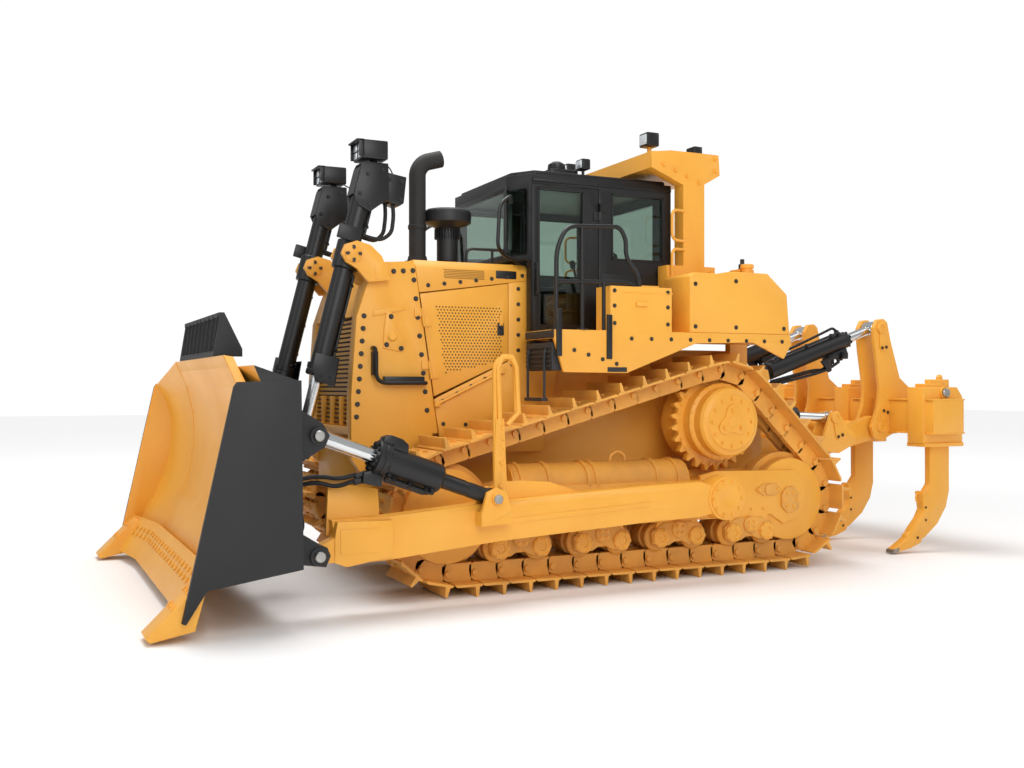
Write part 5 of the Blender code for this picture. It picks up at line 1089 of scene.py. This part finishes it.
def cylinder(prefix, y, pins, radii, length, strokes, eyes, barrels, rods, neck=0.0, back=0.0, rim=0.02,
             ports=()):
    """Both sides' barrels and rods in their frame pieces' stead; ports: the line's run, along and out."""
    barrel_radius, rod_radius, eye_radius = radii
    barrel_eye, rod_eye = eyes
    line = Vector((pins[1][0] - pins[0][0], 0, pins[1][1] - pins[0][1]))
    reach, line = line.length, line.normalized()
    out = Vector((-abs(line.z), 0, math.copysign(line.x, -line.x * line.z))) if back else Vector((line.z, 0,
                                                                                                  -line.x))
    out = out if back or out.z > 0 else -out
    outer = barrel_radius + rim
    rod_foot = length - strokes[1] - 0.06
    bore, bore_end = rod_radius + 0.0015, rod_foot - strokes[0] - 0.01
    for side, mark in ((1, "L"), (-1, "R")):
        def at(d, raised=0.0, beside=0.0):
            head = Vector((pins[0][0], side * y, pins[0][1]))
            return head + line * d + out * raised + Vector((0, side * beside, 0))

        profile = [(0, -back), (barrel_radius - 0.01, -back), (barrel_radius, -back + 0.01)] if back else \
                  [(0, neck), (barrel_radius - 0.02, neck), (barrel_radius, neck + 0.02)]
        if rim:
            profile += [(barrel_radius, length - 0.104), (outer, length - 0.10)]
        profile += [(outer, length - 0.06), (outer - 0.004, length - 0.056),
                    (outer - 0.004, length - 0.044),
                    (outer, length - 0.04), (outer, length - 0.01), (outer - 0.01, length),
                    (rod_radius + 0.012, length),
                    (bore, length - 0.008), (bore, bore_end), (0, bore_end)]
        parts = [turned(profile, at(0), line, 44)]
        if back:
            ring_radius = barrel_radius + 0.025
            parts.append(turned([(barrel_radius - 0.01, -0.12), (ring_radius - 0.006, -0.12),
                                 (ring_radius, -0.114),
                                 (ring_radius, 0.114), (ring_radius - 0.006, 0.12), (barrel_radius - 0.01,
                                                                                     0.12),
                                 (barrel_radius - 0.01, -0.12)], at(0), line, 44))
        else:
            foot = barrel_eye / 2 - 0.005
            parts.append(turned([(0, eye_radius * 0.5), (foot, eye_radius * 0.5), (foot, neck * 0.45),
                                 (foot - 0.003, neck * 0.47), (foot - 0.003, neck * 0.53),
                                 (foot, neck * 0.55), (foot, neck + 0.02), (0, neck + 0.02)],
                                at(0), line, 32))
        half_eye = barrel_eye / 2
        if back:
            parts += [turned([(0, barrel_radius - 0.01), (eye_radius, barrel_radius - 0.01),
                              (eye_radius, half_eye - 0.006),
                              (eye_radius - 0.006, half_eye), (0, half_eye)], at(0), (0, way, 0),
                              32) for way in (1, -1)]
        else:
            parts.append(turned([(0, -half_eye), (eye_radius - 0.006, -half_eye),
                                 (eye_radius, -half_eye + 0.006),
                                 (eye_radius, half_eye - 0.006), (eye_radius - 0.006, half_eye), (0,
                                                                                                  half_eye)],
                                at(0), (0, 1, 0), 32))
        made = joined(f"{prefix}_barrel_{mark}_body", parts, black_enamel, barrels)
        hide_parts(f"{prefix}_barrel_{mark}")
        half_eye = rod_eye / 2
        tip = reach - eye_radius * 0.5
        parts = [turned([(0, rod_foot), (rod_radius, rod_foot), (rod_radius, tip), (0, tip)], at(0), line,
                        40),
                 turned([(0, -half_eye), (eye_radius - 0.006, -half_eye), (eye_radius, -half_eye + 0.006),
                         (eye_radius, half_eye - 0.006), (eye_radius - 0.006, half_eye), (0, half_eye)],
                        at(reach), (0, 1, 0), 36),
                 turned([(rod_radius - 0.01, reach - eye_radius - 0.02),
                         (rod_radius + 0.006, reach - eye_radius - 0.015),
                         (rod_radius + 0.006, reach - eye_radius + 0.01), (rod_radius - 0.01,
                                                                           reach - eye_radius + 0.02),
                         (rod_radius - 0.01, reach - eye_radius - 0.02)], at(0), line, 36)]
        made = joined(f"{prefix}_rod_{mark}_body", parts, hard_chrome, rods)
        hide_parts(f"{prefix}_rod_{mark}")
        aside = Vector((0, 1, 0))
        facing = -line if rim else line
        foot = length - 0.10 if rim else length
        wide = barrel_radius + rim * 0.35 if rim else barrel_radius - 0.011
        spots = [(at(foot) + (out * math.cos(a) + aside * math.sin(a)) * wide, tuple(facing))
                 for a in (math.pi * (2 * k + 1) / 8 for k in range(8))]
        bolts(f"{prefix}_gland_bolts_{mark}", spots, black_enamel, barrels,
              0.026 if rim else 0.020, 0.014 if rim else 0.010)
        lines = []
        for first, last, height, turn in ports:
            radial = (out * math.cos(turn) + aside * side * math.sin(turn))
            near, far = at(first), at(last)
            lines.append(tube([near + radial * (barrel_radius - 0.01), near + radial * height,
                               far + radial * height,
                               far + radial * (barrel_radius - 0.01)], 0.012, 12))
            for t in (0.12, 0.5, 0.88):
                middle = near.lerp(far, t)
                lines.append(rod(middle + radial * (barrel_radius - 0.012),
                                 middle + radial * (height + 0.016), 0.02, 6, 0.003))
            for end in (near, far):
                lines.append(turned([(0, 0), (0.026, 0), (0.026, 0.012), (0.02, 0.016),
                                     (0.02, height - barrel_radius + 0.004),
                                     (0, height - barrel_radius + 0.008)],
                                     end + radial * (barrel_radius - 0.004), radial, 12))
        if lines:
            joined(f"{prefix}_lines_{mark}", lines, black_enamel, barrels)


held = 0.1294
cylinder("lift", 0.62, ((2.69, 2.81), (3.25, 0.60)), (0.085, 0.05, 0.075), 1.05, (1.09, 0.46),
         (0.2694, 0.10), "lift_barrels", "lift_rods", back=0.78, ports=((-0.70, -0.17, 0.112, 0.0),
                                                        (0.20, 0.94, 0.106, 0.5)))
cylinder("tilt", 1.78, ((1.87, 0.836), (3.276, 1.35)), (0.115, 0.055, 0.075), 1.02, (0.075, 0.075),
         (held, 0.10), "tilt_barrels", "tilt_rods", neck=0.46, ports=((0.52, 0.88, 0.148, 2.6),))
cylinder("tip", 0.5525, ((-1.60, 1.80), (-3.136, 2.327)), (0.085, 0.05, 0.075), 1.25, (0.25, 0.21),
         (held, 0.155),
         "tip_barrels", "tip_rods", neck=0.15, rim=0.0, ports=((0.25, 1.15, 0.112, 0.3),))
cylinder("ripper_lift", 0.715, ((-1.25, 1.44), (-2.414, 1.384)), (0.075, 0.045, 0.065), 0.72, (0.25, 0.245),
         (0.09, 0.09),
         "ripper_lift_barrels", "ripper_lift_rods", neck=0.12, ports=((0.20, 0.62, 0.10, 0.4),))

# Lift cylinder heads: folded black plate brackets bolted over the closed end of each barrel, carrying a
# work lamp, a junction box and the hoses that loop down to the yoke; a clamp at the collar and a folded
# guard over the gland.
for side, mark in ((1, "L"), (-1, "R")):
    y = side * 0.62
    cheek = [(2.36, 3.60), (2.585, 3.60), (2.605, 3.56), (2.665, 3.33), (2.62, 3.23), (2.52, 3.18),
             (2.44, 3.24), (2.35, 3.30)]
    head_shapes = [plate(cheek, *sorted((y + face, y + face + 0.008)), "Y", 0.002) for face in (-0.10,
                                                                                                0.092)]
    head_shapes.append(block(2.36, 2.585, y - 0.10, y + 0.10, 3.588, 3.60, 0.002))
    head_shapes.append(plate([(2.605, 3.56), (2.665, 3.33), (2.657, 3.328), (2.597, 3.558)], y - 0.10,
                             y + 0.10, "Y", 0.0))
    box_outline = [(2.19, 3.50), (2.215, 3.275), (2.26, 3.245), (2.41, 3.30), (2.40, 3.47), (2.37, 3.53)]
    head_shapes.append(plate(box_outline, y - 0.085, y + 0.085, "Y", 0.006))
    head_shapes.append(plate([(2.60, 3.02), (2.79, 3.065), (2.82, 2.95), (2.63, 2.90)],
                             *sorted((y + side * 0.112, y + side * 0.15)),
                             "Y", 0.006))
    joined(f"lift_head_{mark}", head_shapes, black_enamel, "lift_barrels")
    head_bolts = [((x, y + face, z), (0, -1 if face < 0 else 1, 0))
                  for x, z in ((2.41, 3.54), (2.54, 3.50), (2.61, 3.33), (2.53, 3.24)) for face in (-0.10,
                                                                                                    0.10)]
    head_bolts += [((x, y + side * 0.085, z), (0, side, 0)) for x,
                   z in ((2.235, 3.46), (2.34, 3.47), (2.25, 3.30), (2.37, 3.33))]
    bolts(f"lift_head_bolts_{mark}", head_bolts, black_enamel, "lift_barrels", 0.022, 0.012)
    lamp_shapes = [block(2.37, 2.60, y - 0.13, y + 0.13, 3.625, 3.785, 0.012),
                   rod((2.46, y, 3.59), (2.46, y, 3.64), 0.03, 16),
                   block(2.58, 2.645, y - 0.13, y + 0.13, 3.770, 3.785, 0.003),
                   block(2.58, 2.625, y - 0.13, y - 0.118, 3.64, 3.785, 0.002), block(2.58, 2.625,
                                                                                      y + 0.118, y + 0.13,
                                                                                      3.64, 3.785, 0.002),
                   rod((2.44, y, 3.78), (2.44, y, 3.80), 0.018, 6)]
    joined(f"lift_lamp_{mark}", lamp_shapes, black_enamel, "lift_barrels")
    lenses = [block(2.598, 2.606, y + offset - 0.045, y + offset + 0.045, z - 0.026, z + 0.026, 0.003)
              for offset in (-0.06, 0.06) for z in (3.668, 3.732)]
    joined(f"lift_lamp_lens_{mark}", lenses, lens_glass, "lift_barrels")
    loops = []
    for k, offset in enumerate((-0.035, 0.035)):
        loops.append(tube([(2.35 - 0.04 * k, y + offset, 3.32), (2.34 - 0.05 * k, y + offset, 3.18),
                           (2.36 - 0.05 * k, y + offset, 3.02),
                           (2.43 - 0.03 * k, y + offset * 1.2, 2.955), (2.50, y + offset * 1.2, 2.965),
                           (2.575, y + offset * 1.2, 2.99)], 0.017, 12, 8))
    loops.append(tube([(2.26, y - side * 0.05, 3.52), (2.30, y - side * 0.05, 3.60),
                       (2.40, y - side * 0.06, 3.64)], 0.006, 8))
    joined(f"lift_hoses_{mark}", loops, rubber, "lift_barrels")
    gland_guard = [plate([(2.79, 1.94), (2.99, 1.985), (3.02, 1.86), (3.00, 1.75), (2.83, 1.71)],
                         *sorted((y + side * 0.110, y + side * 0.118)), "Y", 0.002),
                   plate([(2.79, 1.94), (2.83, 1.71), (2.838, 1.712), (2.798, 1.942)],
                         *sorted((y - side * 0.09, y + side * 0.118)),
                         "Y", 0.0)]
    joined(f"lift_gland_guard_{mark}", gland_guard, black_enamel, "lift_barrels")
    bolts(f"lift_gland_guard_bolts_{mark}", [((x, y + side * 0.118, z), (0, side, 0)) for x,
                                             z in ((2.86, 1.78), (2.94, 1.79))],
          black_enamel, "lift_barrels", 0.022, 0.012)

# Blade tilt cylinders: a cast valve block on the upper side of the gland, flanged hose ports below it,
# hoses to the blade's back, and bright ends of the pins at both clevises.
tilt_line = Vector((3.276 - 1.87, 0, 1.35 - 0.836)).normalized()
tilt_up = Vector((-tilt_line.z, 0, tilt_line.x))
for side, mark in ((1, "L"), (-1, "R")):
    def on_tilt(d, raised):
        spot = Vector((1.87, 0, 0.836)) + tilt_line * d + tilt_up * raised
        return spot.x, spot.z

    y = side * 1.78
    valve_shapes = [plate([on_tilt(0.78, 0.09), on_tilt(0.80, 0.165), on_tilt(0.86, 0.19),
                           on_tilt(0.96, 0.19), on_tilt(1.0, 0.16),
                           on_tilt(1.01, 0.09)], y - 0.06, y + 0.05, "Y", 0.01),
                    plate([on_tilt(0.92, -0.10), on_tilt(0.90, -0.20), on_tilt(1.05, -0.22),
                           on_tilt(1.07, -0.14), on_tilt(1.01, -0.10)],
                          y - 0.05, y + 0.055, "Y", 0.01),
                    plate([on_tilt(0.52, -0.13), on_tilt(0.56, -0.155), on_tilt(0.88, -0.155),
                           on_tilt(0.90, -0.10), on_tilt(0.52, -0.10)],
                          y - 0.03, y + 0.03, "Y", 0.008)]
    for a, raised in ((1.06, -0.16), (1.055, -0.20)):
        x, z = on_tilt(a, raised)
        valve_shapes.append(rod((x, y + side * 0.01, z), (x + 0.06, y + side * 0.01, z - 0.01), 0.026, 6,
                                0.004))
    joined(f"tilt_valve_{mark}", valve_shapes, black_enamel, "tilt_barrels")
    flange = []
    for turn in (math.pi * (2 * k + 1) / 10 for k in range(10)):
        outward = tilt_up * math.cos(turn) + Vector((0, 1, 0)) * math.sin(turn)
        flange.append((Vector((1.87, y, 0.836)) + tilt_line * 1.02 + outward * 0.098, tuple(tilt_line)))
    bolts(f"tilt_flange_bolts_{mark}", flange, black_enamel, "tilt_barrels", 0.030, 0.020)
    tilt_hoses = []
    for k in range(2):
        x, z = on_tilt(1.10, -0.17 - 0.045 * k)
        tilt_hoses.append(tube([(x, y + side * 0.01, z), (x + 0.12, y - side * (0.03 + 0.02 * k),
                                                          z - 0.03 - 0.02 * k),
                                (x + 0.26, y - side * 0.10, z - 0.01), (3.375, y - side * (0.15 + 0.04 * k),
                                                                        1.02 - 0.05 * k)],
                               0.017, 12, 8))
    joined(f"tilt_hoses_{mark}", tilt_hoses, rubber, "tilt_barrels")
    for name, pin, faces, body in (("tilt_rod_pin", (3.276, 1.35), (1.905, 1.655), "blade_group"),
                                   ("arm_pin", (3.269, 0.483), (1.905, 1.655), "blade_group")):
        shapes = [turned([(0, 0), (0.040, 0), (0.040, 0.018), (0.034, 0.024), (0, 0.024)],
                         (pin[0], side * face, pin[1]),
                         (0, side * way, 0), 28) for face, way in zip(faces, (1, -1))]
        joined(f"{name}_{mark}", shapes, pin_steel, body)
    joined(f"tilt_barrel_pin_{mark}", [turned([(0, 0), (0.036, 0), (0.036, 0.012), (0.030, 0.018),
                                               (0, 0.018)],
                                              (1.87, side * 1.91, 0.836), (0, side, 0), 28)], pin_steel,
                                              "push_arms")

# Ripper: a welded box beam with three forged shanks in bolted pockets, hung from the lower link; each shank
# has a cast protector and a wedge tip held by pins. Keepers lock the pins of the link and of the cylinders'
# ears.
softened("ripper_link", machine_enamel, 0.007)
softened("ripper_beam", machine_enamel, 0.007)
for number in (1, 2, 3):
    softened(f"ripper_shank_{number}", machine_enamel, 0.008)
painted("ripper_pins", machine_enamel)
for side, mark in ((1, "L"), (-1, "R")):
    link_shapes, link_bolts = keeper((-2.414, 1.384), (-2.47, 1.20), side * 0.81, side)
    beam_shapes, beam_bolts = keeper((-3.137, 1.276), (-3.19, 1.44), side * 0.695, side)
    ear_shapes, ear_bolts = keeper((-3.136, 2.327), (-3.17, 2.12), side * 0.695, side)
    joined(f"link_keeper_{mark}", link_shapes, machine_enamel, "link")
    bolts(f"link_keeper_bolts_{mark}", link_bolts, painted_hole_shade_and_dark_steel, "link", 0.022, 0.012)
    joined(f"beam_keepers_{mark}", beam_shapes + ear_shapes, machine_enamel, "beam")
    bolts(f"beam_keeper_bolts_{mark}", beam_bolts + ear_bolts, painted_hole_shade_and_dark_steel, "beam", 0.022,
          0.012)
    flanges = [block(-3.672, -3.228, *sorted((side * (1.10 - 0.115), side * 0.15)), z, z + 0.016,
                     0.003) for z in (1.218, 1.563)]
    flanges += [block(-3.672, -3.228, *sorted((side * 1.322, side * (1.10 + 0.115))), z, z + 0.016,
                      0.003) for z in (1.218, 1.563)]
    joined(f"beam_flanges_{mark}", flanges, machine_enamel, "beam")
worn_edge = sprayed("worn_steel_at_the_edge", "A9A59C", "8E8A80", 0.42, patch=0.05, peel=0.004, relief=0.25,
                    metallic=0.9)
for number, y in ((1, 1.10), (2, 0.0), (3, -1.10)):
    pocket = [block(-3.755, -3.22, y - 0.128, y + 0.128, 1.085, 1.125, 0.006),
              block(-3.60, -3.28, y - 0.075, y + 0.075, 1.695, 1.735, 0.008),
              plate([(-3.575, 1.72), (-3.575, 1.80), (-3.555, 1.83), (-3.535, 1.83), (-3.515, 1.80),
                     (-3.515, 1.72)],
                    y - 0.02, y + 0.02, "Y", 0.006)]
    protector = [plate([(-3.262, 0.575), (-3.255, 0.62), (-3.30, 0.625), (-3.345, 0.50), (-3.335, 0.37),
                        (-3.27, 0.26), (-3.165, 0.185),
                        (-3.105, 0.185), (-3.12, 0.225), (-3.235, 0.35), (-3.285, 0.44)], y - 0.056,
                        y + 0.056, "Y", 0.008),
                 tube([(-3.262, y, 0.50), (-3.225, y, 0.52), (-3.215, y, 0.56), (-3.235, y, 0.60),
                       (-3.27, y, 0.60)], 0.009, 10)]
    joined(f"shank_fittings_{number}", pocket + protector, machine_enamel, "beam")
    joined(f"shank_tip_{number}", [plate([(-2.868, 0.014), (-3.10, 0.050), (-3.235, 0.098), (-3.26, 0.155),
                                          (-3.205, 0.205), (-3.12, 0.20),
                                          (-3.03, 0.135), (-2.872, 0.043)], y - 0.052, y + 0.052, "Y",
                                          0.006)],
           machine_enamel, "beam")
    joined(f"shank_tip_edge_{number}", [plate([(-2.858, 0.010), (-2.94, 0.022), (-2.945, 0.072),
                                               (-2.866, 0.045)], y - 0.0535, y + 0.0535,
                                              "Y", 0.003)], worn_edge, "beam")
    retainers = [rod((x, y + a * 0.050, z), (x, y + a * 0.060, z), 0.014, 14, 0.002)
                 for x, z in ((-3.19, 0.155), (-3.30, 0.46), (-3.30, 0.33)) for a in (1, -1)]
    joined(f"shank_retainers_{number}", retainers, painted_hole_shade_and_dark_steel, "beam")
    pocket_pin = [turned([(0, 0), (0.048, 0), (0.048, 0.016), (0.040, 0.022), (0.018, 0.022),
                          (0.018, 0.016), (0, 0.016)],
                         (-3.50, y + a * 0.1285, 1.64), (0, a, 0), 24) for a in (1, -1)]
    joined(f"shank_pin_{number}", pocket_pin, pin_steel, "beam")
    collars = [turned([(0.045, -0.02), (0.066, -0.02), (0.066, 0.012), (0.045, 0.012), (0.045, -0.02)],
                      (-3.50, y + a * 0.115, 1.64), (0, a, 0), 24) for a in (1, -1)]
    joined(f"shank_pin_collars_{number}", collars, machine_enamel, "beam")

# Ripper hydraulics: a valve cluster with a plate guard under each tip cylinder's head, and hoses that
# follow the barrel back to the tractor.
tip_line = Vector((-3.136 + 1.60, 0, 2.327 - 1.80)).normalized()
tip_down = Vector((-tip_line.z, 0, tip_line.x))
tip_down = tip_down if tip_down.z < 0 else -tip_down
for side, mark in ((1, "L"), (-1, "R")):
    def on_tip(d, lowered):
        spot = Vector((-1.60, 0, 1.80)) + tip_line * d + tip_down * lowered
        return spot.x, spot.z

    y = side * 0.5525
    cluster = [plate([on_tip(0.92, 0.07), on_tip(0.92, 0.14), on_tip(1.18, 0.14), on_tip(1.18, 0.07)],
                     y - 0.06, y + 0.06, "Y", 0.008),
               plate([on_tip(0.80, 0.10), on_tip(0.86, 0.24), on_tip(0.90, 0.235), on_tip(0.93, 0.13),
                      on_tip(1.0, 0.12),
                      on_tip(1.0, 0.08)], *sorted((y + side * 0.05, y + side * 0.075)), "Y", 0.004),
               block(on_tip(1.14, 0.12)[0] - 0.02, on_tip(1.14, 0.12)[0] + 0.06, y - 0.05, y + 0.09,
                     on_tip(1.14, 0.12)[1] - 0.06,
                     on_tip(1.14, 0.12)[1] + 0.01, 0.008)]
    for k in range(4):
        x, z = on_tip(0.94 + 0.06 * k, 0.13)
        cluster.append(turned([(0, 0), (0.022, 0), (0.022, 0.03), (0.017, 0.034), (0.017, 0.06),
                               (0, 0.062)],
                              (x, y + side * (0.02 - 0.02 * (k % 2)), z), tuple(tip_down), 12))
    cluster.append(rod((on_tip(1.17, -0.09)[0], y - side * 0.02, on_tip(1.17, -0.09)[1]),
                       (on_tip(1.17, -0.125)[0], y - side * 0.02, on_tip(1.17, -0.125)[1]), 0.026, 6,
                       0.004))
    joined(f"tip_valve_{mark}", cluster, black_enamel, "tip_barrels")
    tip_hoses = []
    for k, lateral in enumerate((0.03, -0.02, 0.06)):
        start, middle, end = (on_tip(0.95 + 0.04 * k, 0.18), on_tip(0.70, 0.16 + 0.02 * k),
                              on_tip(0.16, 0.10 + 0.02 * k))
        tip_hoses.append(tube([(start[0], y + side * lateral, start[1]),
                               (on_tip(0.86, 0.21)[0], y + side * lateral, on_tip(0.86, 0.21)[1]),
                               (middle[0], y + side * lateral, middle[1]), (end[0],
                                                                            y + side * lateral * 0.5,
                                                                            end[1])], 0.015, 10, 6))
    x, z = on_tip(1.17, -0.12)
    tip_hoses.append(tube([(x, y - side * 0.02, z), (x + 0.05, y - side * 0.02, z + 0.03),
                           (on_tip(0.95, -0.15)[0], y - side * 0.03, on_tip(0.95, -0.15)[1]),
                           (on_tip(0.45, -0.125)[0], y - side * 0.03, on_tip(0.45, -0.125)[1]),
                           (on_tip(0.14, -0.07)[0], y - side * 0.03, on_tip(0.14, -0.07)[1])], 0.014, 10,
                           6))
    joined(f"tip_hoses_{mark}", tip_hoses, rubber, "tip_barrels")
